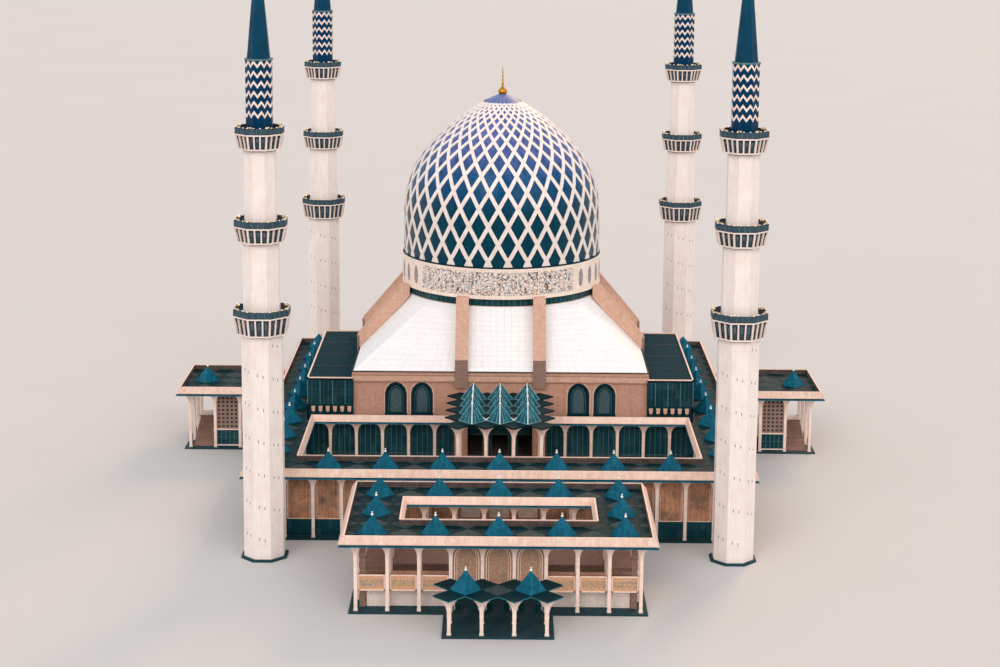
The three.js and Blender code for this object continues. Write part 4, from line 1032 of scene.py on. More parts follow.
def folded_field(shape: Shape, rect: Rect, skip: Iterable[Place]) -> None:
    """Cover part of a deck with the folded diamonds over columns and the flat ones over bays.

    Args:
        shape: The shape it goes to.
        rect: The part of the deck.
        skip: Bays that carry a pyramid.
    """
    taken = {(round(x / HALF_BAY), round(y / HALF_BAY)) for x, y in skip}
    for i in range(math.floor(rect[0] / HALF_BAY) - 1, math.ceil(rect[1] / HALF_BAY) + 2):
        for j in range(math.floor(rect[2] / HALF_BAY) - 1, math.ceil(rect[3] / HALF_BAY) + 2):
            if (i + j) % 2 or (i, j) in taken:
                continue
            finish, edge, fold = (FOLD_SHEET, 0.006, -0.014) if i % 2 else (WORN_FELT, 0.002, 0.012)
            x, y = i * HALF_BAY, j * HALF_BAY
            tips = diamond((x, y), HALF_BAY * 0.985, DECK + edge)
            for first, last in zip(tips, tips[1:] + tips[:1]):
                upper = clipped([(x, y, DECK + fold), first, last], rect)
                if upper:
                    shape.loft([[(px, py, DECK - 0.03) for px, py, _ in upper], upper], finish)


def roof_pyramid(shape: Shape, place: Place, level: float, height: float, sheet: Finish = TEAL_SHEET,
                 hips: Finish = TEAL_SHEET, balls: Finish = LAMP_GLASS) -> None:
    """Add a four-sided roof pyramid with its hips and its ball finial.

    Args:
        shape: The shape it goes to.
        place: Its axis in plan.
        level: Level of its foot.
        height: Its height.
        sheet: Finish of its faces.
        hips: Finish of its hips.
        balls: Finish of its finial.
    """
    half = PYRAMID_HALF
    shape.turned([(half, level - 0.012), (half, level + 0.008), (half - 0.012, level + 0.008),
                  (0.006, level + height)], 4, place, sheet)
    for corner in ring(half - 0.008, level + 0.006, 4, place):
        shape.bar(corner, (*place, level + height), 0.012, 0.01, hips)
    top = level + height - 0.018
    shape.turned([(0.01, top), (0.01, top + 0.1), (0.001, top + 0.108)], 6, place, hips)
    for middle, size in ((top + 0.032, 0.03), (top + 0.084, 0.018)):
        shape.turned([(0.008, middle - size), (size * 0.8, middle - size * 0.6), (size, middle),
                      (size * 0.8, middle + size * 0.6), (0.008, middle + size)], 8, place, balls)


# Sub-assemblies


@dataclass
class BandedRoof:
    """A deck inside an outer fascia, with folded diamonds, pyramids and rims round its openings."""

    name: str
    nodes: tuple[str, ...]
    outer: Rect
    strips: tuple[Rect, ...]
    rims: tuple[Rect, ...]
    pyramids: tuple[Place, ...]
    fascia_lean: float = 0.11
    fascia_thickness: float = 0.03
    rim_thickness: float = 0.035
    rim_lean: float = 0.06
    cap: float = 0.016
    soffit: float = 0.07
    pyramid_height: float = 0.41

    def divided_face(self, shape: Shape, rect: Rect, thickness: float) -> None:
        """Line the face of a parapet towards the deck in dark painted shade, with its upright divisions.

        Args:
            shape: The shape it goes to.
            rect: The face's rectangle.
            thickness: The lining's thickness, negative where the face looks inwards.
        """
        # Dark lining as painted shade on the face that looks to the deck
        shape.band(rect, 0.0, thickness, DECK - 0.01, FASCIA_TOP - 0.02, DARK_STONE_AND_SHADE)
        for axis in (0, 2):
            start, end = rect[axis:axis + 2]
            for step in range(1, round((end - start) / DIVISION)):
                at = start + step * DIVISION
                for face in rect[2 - axis:4 - axis]:
                    plan = (face, at, 0.006, 0.005) if axis else (at, face, 0.005, 0.006)
                    shape.post(*plan, DECK, FASCIA_TOP - 0.022, SHADED_EDGE_STONE)

    def build(self) -> None:
        """Build the roof as one piece."""
        shape = Shape(WORN_FELT)
        for strip in self.strips:
            shape.box(*strip, BEAM_TOP, DECK - 0.012)
            folded_field(shape, strip, self.pyramids)
        for place in self.pyramids:
            roof_pyramid(shape, place, DECK, self.pyramid_height)
        cap_foot, cap_head = FASCIA_TOP - self.cap, FASCIA_TOP + 0.002
        thick = self.fascia_thickness
        shape.band(self.outer, self.fascia_lean, thick, FASCIA_FOOT, FASCIA_TOP, CAST_STONE)
        shape.band(self.outer, self.fascia_lean - 0.006, self.soffit, CROWN + 0.004, FASCIA_FOOT,
                   BLUE_PAINT)
        shape.band(grown(self.outer, 0.002), 0.002, thick, cap_foot, cap_head, RIM_STONE)
        self.divided_face(shape, grown(self.outer, -thick), -0.006)
        thick = -self.rim_thickness
        for rim in self.rims:
            shape.band(rim, -self.rim_lean, thick, FASCIA_FOOT, FASCIA_TOP, RIM_STONE)
            shape.band(rim, 0.004 - self.rim_lean, -self.soffit, CROWN + 0.014, FASCIA_FOOT, BLUE_PAINT)
            shape.band(grown(rim, -0.002), -0.004, thick, cap_foot, cap_head, RIM_STONE)
            self.divided_face(shape, grown(rim, -thick), 0.006)
        shape.piece(self.name, Slot.ROOF, self.nodes)


@dataclass
class Podium:
    """The arcaded podium: colonnades, panelled walls and the banded roof round the open court."""

    half_x: int = 17
    front: int = -25
    rear: int = 13
    wall_setback: float = 0.11
    rear_row: float = 4.24
    panel_top: float = 1.5
    door_head: float = 1.19

    def columns(self) -> None:
        """Build the four colonnades, each as its own piece."""
        x, front, rear = self.half_x, self.front, self.rear
        length = (FLARE_ALONG, FLARE_ALONG)
        rows = {
            "front": (across(-x, x, front), (*length, FLARE_OUT, WALL_REACH)),
            "rear": (across(-x, x, rear), (*length, WALL_REACH, FLARE_OUT)),
            "left": (along(-x, front + 2, rear - 2), (FLARE_OUT, WALL_REACH, *length)),
            "right": (along(x, front + 2, rear - 2), (WALL_REACH, FLARE_OUT, *length)),
        }
        for side, (places, reach) in rows.items():
            shape = Shape(COLUMN_STONE)
            column_row(shape, places, GROUND, reach)
            shape.piece(f"podium_colonnade_{side}", Slot.CREAM, [f"podium_columns_{side}"], 30)

    def panel(self, shape: Shape, start: Place, end: Place, out: Place, door: bool = False) -> None:
        """Frame one bay of wall between two plan points, with a window row under it or a door.

        Args:
            shape: The shape it goes to.
            start: The bay's first end.
            end: Its last end.
            out: The way it faces.
            door: It has a doorway.
        """
        (ax, ay), (bx, by) = start, end
        face = (*out, 0.0)

        def at(share: float, z: float, proud: float = 0.006) -> Point:
            """Give a point on the bay's face."""
            return (ax + (bx - ax) * share + out[0] * proud, ay + (by - ay) * share + out[1] * proud, z)

        low, top = self.door_head if door else LOW_WALL, self.panel_top
        for share, width in ((0.09, 0.018), (0.91, 0.018), (0.14, 0.007), (0.86, 0.007)):
            shape.bar(at(share, low), at(share, top), width, 0.014, RIM_STONE, face)
        shape.bar(at(0.09, top), at(0.91, top), 0.016, 0.014, RIM_STONE, face)
        shape.bar(at(0.09, low), at(0.91, low), 0.018, 0.016, RIM_STONE, face)
        if not door:
            shape.bar(at(0.04, 0.235, 0.002), at(0.96, 0.235, 0.002), 0.4, 0.008, GLASS, face)
            for share in (0.04, 0.27, 0.5, 0.73, 0.96):
                shape.bar(at(share, 0.04, 0.008), at(share, 0.43, 0.008), 0.01, 0.01, DARK_PAINT, face)

    def wall_frames(self) -> None:
        """Build the frames of the wall panels and the glazing of the ground storey."""
        x_wall = self.half_x * HALF_BAY - self.wall_setback
        y_front = self.front * HALF_BAY + self.wall_setback
        y_rear = self.rear * HALF_BAY - self.wall_setback
        shape = Shape(RIM_STONE)
        for x in odd_steps(-self.half_x, self.half_x - 2):
            door = abs(x + HALF_BAY) < BAY + 0.01
            self.panel(shape, (x, y_front), (x + BAY, y_front), (0, -1), door)
            self.panel(shape, (x, y_rear), (x + BAY, y_rear), (0, 1))
        for y in odd_steps(self.front, self.rear - 2):
            for side in (-1, 1):
                self.panel(shape, (side * x_wall, y), (side * x_wall, y + BAY), (side, 0))
        shape.piece("podium_wall_frames", Slot.CREAM)

    def roof(self) -> None:
        """Build the banded roof with its rim round the court."""
        outer = grid_rect(self.half_x, self.front, self.rear, OVERHANG)
        rim = grid_rect(Court.half_x, Court.front, Court.rear, -OVERHANG)
        _, x, y0, y1 = outer
        _, rim_x, rim_front, rim_rear = rim
        edge = Hall.half + 0.002
        strips = ((-x, x, y0, rim_front), (-x, -rim_x, rim_front, y1), (rim_x, x, rim_front, y1),
                  (-rim_x, -edge, rim_rear, y1), (edge, rim_x, rim_rear, y1), (-edge, edge, edge, y1),
                  (-edge, edge, rim_rear, -edge))
        places = [(step * BAY, -12 * BAY) for step in (0, 2, 4, 6, 8)]
        places += [(8 * BAY, step * BAY) for step in range(-10, 8, 2)]
        places += [(step * BAY, self.rear_row) for step in (0, 2, 4, 6.6)]
        nodes = ("podium_roof_front", "podium_roof_left", "podium_roof_right", "podium_roof_rear",
                 "court_rear_fascia")
        BandedRoof("podium_banded_roof", nodes, outer, strips, (rim,), tuple(both_sides(places))).build()

    def build(self) -> None:
        """Build everything of the podium."""
        self.columns()
        self.wall_frames()
        self.roof()
        dress_nodes(SLATE, "ground_floor")
        dress_nodes(FLOOR_STONE, "main_floor")
        dress_nodes(PANEL_STONE, *(f"podium_wall_{side}" for side in ("front", "rear", "left", "right")))


@dataclass
class Court:
    """The open court: arcades round it, the glazed screen and the raised canopy before the hall."""

    half_x: int = 15
    front: int = -23
    rear: int = -11
    pier_back: float = 0.07
    screen_setback: float = 0.1
    screen_top: float = 1.56
    mullions: int = 72
    side_mullions: int = 47
    transoms: tuple[float, float] = (0.64, 0.68)
    door_half: float = 0.23
    door_head: float = 1.18

    def arcades(self) -> None:
        """Build the arcades of all four sides, the rear one with its stone piers."""
        x, front, rear = self.half_x, self.front, self.rear
        length, depth = (FLARE_ALONG, FLARE_ALONG), (FLARE_OUT, FLARE_OUT)
        rear_row = sorted(both_sides(across(5, 13, rear)) + across(-1, 1, rear))
        rows = {
            "rear": (rear_row, (*length, OVERHANG, self.pier_back)),
            "front": (across(-x, x, front), (*length, *depth)),
            "left": (along(-x, front + 2, rear), (*depth, *length)),
            "right": (along(x, front + 2, rear), (*depth, *length)),
        }
        for word, (places, reach) in rows.items():
            shape = Shape(COLUMN_STONE)
            column_row(shape, places, MAIN_FLOOR, reach)
            if word == "rear":
                y = rear * HALF_BAY
                for side in (-1, 1):
                    shape.box(side * PIER_INNER, side * PIER_OUTER, y - OVERHANG, y + self.pier_back,
                              MAIN_FLOOR, BEAM_TOP, BLOCK_STONE)
            shape.piece(f"court_arches_{word}", Slot.CREAM, [f"court_arcade_{word}"], 30)

    def glazing_bars(self) -> None:
        """Build the mullions and transoms of the glazed screen and the glass at the sides."""
        shape = Shape(MULLION_PAINT)
        y = self.rear * HALF_BAY + self.screen_setback - 0.005
        edge = self.half_x * HALF_BAY - FLARE_OUT - 0.01
        doors = (-BAY, 0.0, BAY)
        for x in spaced(-edge, edge, self.mullions):
            if all(abs(x - door) >= self.door_half for door in doors):
                shape.post(x, y - 0.004, 0.005, 0.004, MAIN_FLOOR, self.screen_top)
        half, head = self.door_half, self.door_head
        for door in doors:
            for x in (door - half, door + half):
                shape.post(x, y - 0.005, 0.01, 0.005, MAIN_FLOOR, head)
            shape.box(door - half, door + half, y - 0.01, y, head, head + 0.015)
        wall = self.half_x * HALF_BAY + 0.06
        for side in (-1, 1):
            for z in self.transoms:
                shape.box(side * (BAY + half), side * edge, y - 0.007, y - 0.001, z, z + 0.008)
            shape.box(side * wall, side * (wall + 0.01), self.front * HALF_BAY + 0.1, y, MAIN_FLOOR,
                      CROWN, GLASS)
            shape.box(side * edge, side * wall, y + 0.006, y + 0.016, MAIN_FLOOR, self.screen_top, GLASS)
            for step in range(1, self.side_mullions + 1):
                shape.post(side * (wall - 0.003), y - step * DIVISION, 0.003, 0.004, MAIN_FLOOR, CROWN)
        shape.piece("court_glazing_bars", Slot.TEAL)

    def build(self) -> None:
        """Build everything of the court."""
        self.arcades()
        self.glazing_bars()
        dress_nodes(GLASS, "court_glazing")


@dataclass
class Canopy:
    """A canopy on flared columns: folded leaves over the columns and pyramids over the bays."""

    name: str
    rows: tuple[int, int]
    foot: float
    spring: float
    plane: float
    peak: float
    glazed: bool
    raised: tuple[float, ...]
    half_x: int = 3
    thickness: float = 0.03
    hip: float = 0.322

    def columns(self) -> None:
        """Build the columns with their folded vaults."""
        shape = Shape(COLUMN_STONE)
        for y in odd_steps(*self.rows):
            for x in odd_steps(-self.half_x, self.half_x):
                vault_column(shape, (x, y), self.foot, self.spring, self.plane)
        shape.piece(f"{self.name}_arches", Slot.CREAM, [f"{self.name}_columns"], 35)

    def leaf(self, shape: Shape, place: Place, top: float) -> None:
        """Add the folded diamond over one column with a thin strip along its edge.

        Args:
            shape: The shape it goes to.
            place: The column's place.
            top: Level of the leaf's tips.
        """
        tips = diamond(place, HALF_BAY, top)
        for first, last in zip(tips, tips[1:] + tips[:1]):
            upper = [(*place, top - 0.02), first, last]
            shape.loft([[(x, y, self.plane) for x, y, _ in upper], upper], FOLD_SHEET)
        low, high = self.plane - 0.004, top - 0.008
        shape.loft([diamond(place, HALF_BAY * share, z) for share, z in (
            (1.0, low), (1.0, high), (0.96, high), (0.96, low))],
            DARK_PAINT if self.glazed else EDGE_TILE, tube=True)

    def glass_peak(self, shape: Shape, place: Place, level: float, balls: Finish) -> None:
        """Add a glazed pyramid with its edge strips, its hips and its front ridge.

        Args:
            shape: The shape it goes to.
            place: Its axis in plan.
            level: Level of its foot.
            balls: Finish of its finial.
        """
        x, y = place
        roof_pyramid(shape, place, level, self.peak - level, TEAL_GLASS, EDGE_METAL, balls)
        shape.bar((x, y - self.hip, level + 0.006), (x, y, self.peak), 0.02, 0.022, LAMP_GLASS)
        corners = ring(self.hip, level + 0.006, 4, place)
        shape.outline_bar(corners + corners[:1], 0.012, 0.01, EDGE_METAL, (0, 0, 1))
        for side in (-1, 1):
            for share in (0.3, 0.62):
                foot = (x + side * self.hip * share, y - self.hip * (1 - share), level + 0.008)
                shape.bar(foot, (x, y, self.peak - 0.01), 0.006, 0.008, EDGE_METAL)

    def roof(self) -> None:
        """Build the leaves and the pyramids, or flat bays, between them."""
        shape = Shape(TEAL_SHEET)
        top = self.plane + self.thickness
        for y in odd_steps(*self.rows):
            for x in odd_steps(-self.half_x, self.half_x):
                self.leaf(shape, (x, y), top)
        bays = [(x, y) for y in odd_steps(self.rows[0] + 1, self.rows[1] - 1)
                for x in odd_steps(1 - self.half_x, self.half_x - 1)]
        rear = max(y for _, y in bays)
        for place in bays:
            if round(abs(place[0]), 3) not in self.raised:
                shape.turned([(PYRAMID_HALF, self.plane), (PYRAMID_HALF, top - 0.004), (0.01, top + 0.02)],
                             4, place, WORN_FELT)
            elif self.glazed:
                self.glass_peak(shape, place, top, GOLD if place[1] == rear else LAMP_GLASS)
            else:
                roof_pyramid(shape, place, top, self.peak - top)
        if self.glazed:
            y = self.rows[0] * HALF_BAY + 0.36
            for x in (-HALF_BAY, HALF_BAY):
                for side in (-1, 1):
                    shape.bar((x, y, top + 0.01), (x + side * 0.07, y, top + 0.075), 0.03, 0.03,
                              LAMP_GLASS, (0, -1, 0))
        shape.piece(f"{self.name}_leaves", Slot.TEAL, [f"{self.name}_roof"])

    def build(self) -> None:
        """Build the canopy."""
        self.columns()
        self.roof()


@dataclass(frozen=True)
class PointedArch:
    """The outline of a pointed opening in a wall that looks to the front."""

    half: float
    sill: float
    spring: float
    top: float
    steps: int = 6

    def outline(self, centre: float, inset: float, y: float) -> list[Point]:
        """Give the outline, inset evenly.

        Args:
            centre: The opening's middle.
            inset: How far the outline lies inside the opening.
            y: The outline's plane.

        Returns:
            The outline from the left foot over the point to the right foot.
        """
        rise = self.top - self.spring
        radius = (self.half ** 2 + rise ** 2) / (2 * self.half)
        reach = radius - inset
        off = self.half - radius
        end = math.acos(max(-1.0, min(1.0, -off / reach)))
        right = [(centre + off + reach * math.cos(angle), y, self.spring + reach * math.sin(angle))
                 for angle in spaced(0, end, self.steps)]
        left = [(2 * centre - x, y, z) for x, y, z in right[:-1]]
        foot, half = self.sill + inset * 0.1, self.half - inset
        return [(centre - half, y, foot), *left, *right[::-1], (centre + half, y, foot)]


@dataclass
class Hall:
    """The square prayer hall with its pointed windows, and the fanned skirt roof over it."""

    half: float = 3.77
    cornice: float = 2.62
    windows: tuple[float, float] = (2.01, 2.68)
    window: PointedArch = PointedArch(0.28, 1.78, 2.30, 2.61)
    lancet_spring: float = 2.2
    strips: tuple[float, float] = (1.65, 3.01)
    eave_half: float = 3.766
    eave_level: float = 2.894
    skirt_radius: float = 2.62
    skirt_top: float = 4.335
    skirt_rows: int = 13
    seam: float = 0.0028
    rib_kink: Place = (-3.86, 3.21)
    rib_head: Place = (-2.685, 4.6)
    rib_feet: tuple[float, float] = (2.47, 2.745)
    course: float = 0.062

    def walls(self) -> None:
        """Build the windows' bars, the pilaster strips and the cornice trim on all four sides."""
        side = Shape(DARK_PAINT)
        y = -self.half
        lancet = replace(self.window, spring=self.lancet_spring)
        for centre in [sign * middle for middle in self.windows for sign in (-1, 1)]:
            side.outline_bar(self.window.outline(centre, 0.032, y + 0.02), 0.09, 0.03)
            side.outline_bar(self.window.outline(centre, -0.016, y - 0.001), 0.012, 0.01, RIM_STONE)
            for inset, width in ((0.094, 0.011), (0.132, 0.007), (0.158, 0.011)):
                side.outline_bar(lancet.outline(centre, inset, y + 0.046), width, 0.014, MULLION_PAINT)
            side.outline_bar(lancet.outline(centre, 0.12, y + 0.052), 0.04, 0.012)
            side.loft([lancet.outline(centre, 0.16, y + depth) for depth in (0.05, 0.06)], FROSTED)
            half, sill = self.window.half + 0.01, self.window.sill
            side.box(centre - half, centre + half, y - 0.006, y + 0.085, sill - 0.05, sill + 0.02)
        for centre in [sign * middle for middle in self.strips for sign in (-1, 1)]:
            side.post(centre, y - 0.005, 0.02, 0.007, 1.58, self.cornice, BLOCK_STONE)
        run = self.half + 0.03
        # Cornice trim from the foot up: a shaded-stone strip as painted shadow under the band, the band in
        # sunlit-painted rib stone, a shaded-stone strip as a painted shadow line in the groove, and a
        # dark-paint strip as painted shade along the gutter
        for foot, head, proud, finish in (
                (-0.012, 0.0, 0.036, SHADED_STONE), (0.022, 0.148, 0.042, RIB_STONE),
                (0.158, 0.17, 0.036, SHADED_STONE), (0.25, 0.266, 0.04, DARK_PAINT)):
            side.box(-run, run, y - proud, y - 0.004, self.cornice + foot, self.cornice + head, finish)
        all_sides(side).piece("hall_wall_trim", Slot.CREAM)
        dress_nodes(BLOCK_STONE, *(f"hall_wall_{name}" for name in ("front", "rear", "left", "right")))
        dress_nodes(GLASS, "hall_window_glass")

    def slope_point(self, x: float, share: float, lift: float = 0.0) -> Point:
        """Give a point of the front slope.

        Args:
            x: Where its seam starts along the eave.
            share: How far up the seam, from 0 to 1.
            lift: How far off the surface.

        Returns:
            The point.
        """
        if abs(x) <= PIER_OUTER:
            angle = math.asin(x / self.skirt_radius)
        else:
            limit = math.asin(PIER_OUTER / self.skirt_radius)
            part = (abs(x) - PIER_OUTER) / (self.eave_half - PIER_OUTER)
            angle = math.copysign(limit + (math.pi / 4 - limit) * part, x)
        top_x, top_y = self.skirt_radius * math.sin(angle), -self.skirt_radius * math.cos(angle)
        return (x + (top_x - x) * share,
                -self.eave_half + (top_y + self.eave_half) * share - lift * 0.7,
                self.eave_level + (self.skirt_top - self.eave_level) * share + lift * 0.7)

    def skirt(self) -> None:
        """Build the skirt roof: a shell with thin panels on it, fanned from the drum to the eave."""
        side = Shape(COATED_PANEL)
        edge = self.eave_half
        levels = spaced(0.0, 1.0, self.skirt_rows)
        gap = self.seam
        for start, end, count in (
                (-edge, -PIER_OUTER, 13), (-PIER_OUTER, -PIER_INNER, 2), (-PIER_INNER, PIER_INNER, 9),
                (PIER_INNER, PIER_OUTER, 2), (PIER_OUTER, edge, 13)):
            seams = spaced(start, end, count)
            for x0, x1 in zip(seams, seams[1:]):
                section = ((x0, -0.03), (x1, -0.03), (x1, -0.002), (x0, -0.002))
                side.loft([[self.slope_point(x, level, lift) for x, lift in section]
                           for level in levels], PANEL_SEAM)
                for foot, head in zip(levels, levels[1:]):
                    low, high = foot + 0.001, head - 0.001
                    corners = ((x0 + gap, low), (x1 - gap, low), (x1 - gap, high), (x0 + gap, high))
                    side.loft([[self.slope_point(x, share, lift) for x, share in corners]
                               for lift in (-0.006, 0.004)])
        all_sides(side).piece("skirt_roof_panels", Slot.WHITE, ["skirt_roof"], 25)

    def rib(self, shape: Shape, x0: float, x1: float, low: float) -> None:
        """Add one rib in courses on the front slope, with its foot at a level.

        Args:
            shape: The shape it goes to.
            x0: Its left side.
            x1: Its right side.
            low: Level of its foot.
        """
        (kink, kink_level), (drum, head) = self.rib_kink, self.rib_head
        section = [(kink, low), (kink, kink_level), (drum, head), (-2.45, head), (-2.45, 4.3),
                   (-3.74, 2.85), (-3.74, low)]
        shape.loft([[(x, y, z) for y, z in section] for x in (x0 + 0.012, x1 - 0.012)])
        count = round(math.hypot(drum - kink, head - kink_level) / self.course)
        for step in range(count):
            rings = []
            for lift in (-0.02, 0.004):
                foot, top = ((kink + (drum - kink) * share - lift * 0.76,
                              kink_level + (head - kink_level) * share + lift * 0.65)
                             for share in ((step + 0.06) / count, (step + 0.94) / count))
                rings.append([(x0, *foot), (x1, *foot), (x1, *top), (x0, *top)])
            shape.loft(rings)
        levels = spaced(low, kink_level, round((kink_level - low) / self.course))
        for foot, top in zip(levels, levels[1:]):
            shape.box(x0, x1, kink - 0.003, kink + 0.06, foot + 0.002, top - 0.002, SHADED_STONE)

    def ribs(self) -> None:
        """Build the eight stone ribs, two on each slope, up to the drum's foot."""
        shape = Shape(RIB_STONE)
        for quarter in range(4):
            pair = Shape(RIB_STONE)
            for x0, x1 in ((-PIER_OUTER, -PIER_INNER), (PIER_INNER, PIER_OUTER)):
                self.rib(pair, x0, x1, self.rib_feet[quarter % 2])
            shape.add(pair, quarter)
        shape.piece("stone_ribs", Slot.BROWN, ["roof_ribs"])

    def build(self) -> None:
        """Build everything of the hall under the drum."""
        self.walls()
        self.skirt()
        self.ribs()


@dataclass
class Crown:
    """Clerestory, drum, latticed dome and finial."""

    sides: int = 160
    lining: float = 2.56
    clerestory_low: float = 4.33
    clerestory_high: float = 4.545
    clerestory_radius: float = 2.61
    clerestory_bars: int = 112
    drum_high: float = 5.35
    drum_radius: float = 2.689
    drum_turn: float = -2.85
    field_half: float = 48.3
    motifs: tuple[float, float, float, float] = (54.6, 64.3, 74.0, 83.7)
    bars: int = 32
    bar_parts: int = 4
    panel_parts: int = 4
    phase: float = 0.066
    skin: float = 0.022
    bar_foot: float = 0.105
    bar_head: float = 0.042
    bulb_low: float = 9.62
    spike: tuple[Place, ...] = ((0.012, 10.25), (0.002, 10.385))
    cap_profile: tuple[Place, ...] = (
        (0.515, 9.42), (0.535, 9.428), (0.5, 9.45), (0.3, 9.545), (0.13, 9.62), (0.07, 9.64))
    radii: tuple[float, ...] = (
        2.652, 2.655, 2.655, 2.65, 2.598, 2.494, 2.31, 2.046, 1.655, 1.187, 0.744, 0.527)
    heights: tuple[float, ...] = (
        5.36, 5.75, 6.1, 6.6, 7.0, 7.4, 7.8, 8.2, 8.6, 9.0, 9.3, 9.43)
    levels: tuple[float, ...] = (
        5.39, 5.54, 5.98, 6.445, 6.9, 7.33, 7.73, 8.06, 8.34, 8.56, 8.75, 8.91, 9.04, 9.145, 9.235,
        9.315, 9.386, 9.43)

    def radius(self, z: float) -> float:
        """Give the dome's outer radius at a level."""
        return smooth_value(self.heights, self.radii, z)

    def on_dome(self, angle: float, step: float, inwards: float) -> Point:
        """Give a point of the dome.

        Args:
            angle: Its angle about the axis.
            step: Its lattice step, where 1 is the first crossing over the feet.
            inwards: How far it lies inside the outer surface.

        Returns:
            The point.
        """
        z = smooth_value(range(len(self.levels)), self.levels, step)
        slope = (self.radius(z + 0.01) - self.radius(z - 0.01)) / 0.02
        length = math.hypot(1, slope)
        r = self.radius(z) - inwards / length
        return (r * math.cos(angle), r * math.sin(angle), z + inwards * slope / length)

    def bar_section(self, angle: float, step: float, way: int) -> list[Point]:
        """Give the section of a lattice bar that climbs one way round the dome.

        Args:
            angle: Its angle about the axis.
            step: Its lattice step.
            way: The way that the bar climbs, 1 or -1.

        Returns:
            The section's four corners.
        """
        ahead = way * math.pi / 20 / self.bars
        here = Vector(self.on_dome(angle, step, 0))
        run = (Vector(self.on_dome(angle + ahead, step + 0.05, 0))
               - Vector(self.on_dome(angle - ahead, step - 0.05, 0)))
        out = (here - Vector(self.on_dome(angle, step, 0.05))).normalized()
        width = self.bar_head + (self.bar_foot - self.bar_head) * self.radius(here.z) / 2.66
        half = run.normalized().cross(out).normalized() * width / 2
        deep = out * (self.skin + 0.006)
        return [tuple(p) for p in (here - half, here + half, here + half - deep, here - half - deep)]

    def lattice(self) -> None:
        """Build the lattice bars with their feet and the rim that ends them."""
        shape = Shape(LATTICE_RENDER)
        pitch = 2 * math.pi / self.bars
        steps = spaced(1.0, len(self.levels) - 1.0, (len(self.levels) - 2) * self.bar_parts)
        for bar in range(self.bars):
            angle = -math.pi / 2 + self.phase + bar * pitch
            for way in (-1, 1):
                shape.loft([self.bar_section(angle + way * (step - 1) * pitch / 2, step, way)
                            for step in steps])
            foot = []
            for reach, step in ((0.118, 0.0), (0.118, 0.12), (0.06, 1.0), (0.075, 1.25)):
                turn = reach / 2.65
                foot.append([self.on_dome(angle + side * turn, step, depth) for side, depth in (
                    (-1, 0), (1, 0), (1, self.skin + 0.004), (-1, self.skin + 0.004))])
            shape.loft(foot)
        r, z = self.radii[-1], self.heights[-1]
        shape.turned([(r - 0.05, z - 0.05), (r, z - 0.03), (r + 0.004, z), (r - 0.03, z + 0.012)], 64)
        shape.piece("dome_lattice", Slot.WHITE, ["dome"], 40)

    def enamel(self) -> None:
        """Build the enamel panels between the bars, each with its own shade."""
        shape = Shape(ENAMEL)
        shades = random.Random(32)
        pitch = 2 * math.pi / self.bars
        last_step = len(self.levels) - 1.0
        grid = self.panel_parts
        size = grid + 1
        base = size * size
        inner = [(i * size + j, i * size + j + 1, (i + 1) * size + j + 1, (i + 1) * size + j)
                 for i in range(grid) for j in range(grid)]
        edge = [i * size for i in range(size)] + [grid * size + j for j in range(1, size)]
        edge += [i * size + grid for i in range(grid - 1, -1, -1)] + list(range(grid - 1, 0, -1))
        faces = inner + [(here, there, there + base, here + base)
                         for here, there in zip(edge, edge[1:] + edge[:1])]
        faces += [tuple(base + n for n in reversed(face)) for face in inner]
        for row in range(-1, len(self.levels)):
            for column in range(self.bars):
                shade = shades.random()
                if row >= last_step:
                    continue
                centre = -math.pi / 2 + self.phase + (column + (0.5 if row % 2 else 0.0)) * pitch
                spots = []
                for i in range(size):
                    for j in range(size):
                        a, b = i / grid - 0.5, j / grid - 0.5
                        step = min(max(row + 1 + a + b, 0.0), last_step)
                        spots.append((centre + (a - b) * pitch / 2, step))
                points = [self.on_dome(angle, step, depth) for depth in (self.skin, self.skin + 0.02)
                          for angle, step in spots]
                shape.solid(points, faces, tint=shade)
        shape.piece("dome_enamel", Slot.TEAL, smooth=25)

    def cap(self) -> None:
        """Build the seamed cone over the lattice and the dark joint at the dome's foot."""
        shape = Shape(CAP_SHEET)
        shape.turned(self.cap_profile, 48)
        for x, y, z in ring(0.51, 9.446, 24):
            shape.bar((x, y, z), (x * 0.14, y * 0.14, 9.637), 0.012, 0.008, SPIRE_SHEET)
        shape.hoop(2.6, 2.672, 5.342, 5.388, self.sides, DARK_PAINT)
        shape.piece("dome_cap", Slot.TEAL, smooth=30)

    def clerestory(self) -> None:
        """Build the strip of windows under the drum."""
        shape = Shape(GLASS)
        low, high, radius = self.clerestory_low, self.clerestory_high, self.clerestory_radius
        shape.hoop(self.lining, radius - 0.012, low - 0.05, high, self.sides)
        shape.hoop(self.lining, radius, low - 0.04, low + 0.018, self.sides, CAST_STONE)
        for step in range(self.clerestory_bars):
            angle = 2 * math.pi * (step + 0.5) / self.clerestory_bars
            way = (math.cos(angle), math.sin(angle))
            x, y = (radius - 0.004) * way[0], (radius - 0.004) * way[1]
            shape.bar((x, y, low + 0.01), (x, y, high - 0.002), 0.008, 0.01, MULLION_PAINT, (*way, 0))
        shape.piece("clerestory_windows", Slot.CREAM, ["clerestory"])

    def field(self, shape: Shape, start: float, end: float, foot: float, head: float, depth: float,
              finish: Finish | None = None) -> None:
        """Lay a curved plate on the drum between two angles in degrees.

        Args:
            shape: The shape it goes to.
            start: The first angle.
            end: The last angle.
            foot: Level of its foot.
            head: Level of its head.
            depth: How far it lies back.
            finish: Its finish.
        """
        r = self.drum_radius
        rings = []
        for angle in spaced(start - 90, end - 90, max(2, round((end - start) / 3))):
            x, y = math.cos(math.radians(angle)), math.sin(math.radians(angle))
            rings.append([(radius * x, radius * y, z) for radius, z in (
                (r - 0.02, foot), (r - depth, foot), (r - depth, head), (r - 0.02, head))])
        shape.loft(rings, finish)

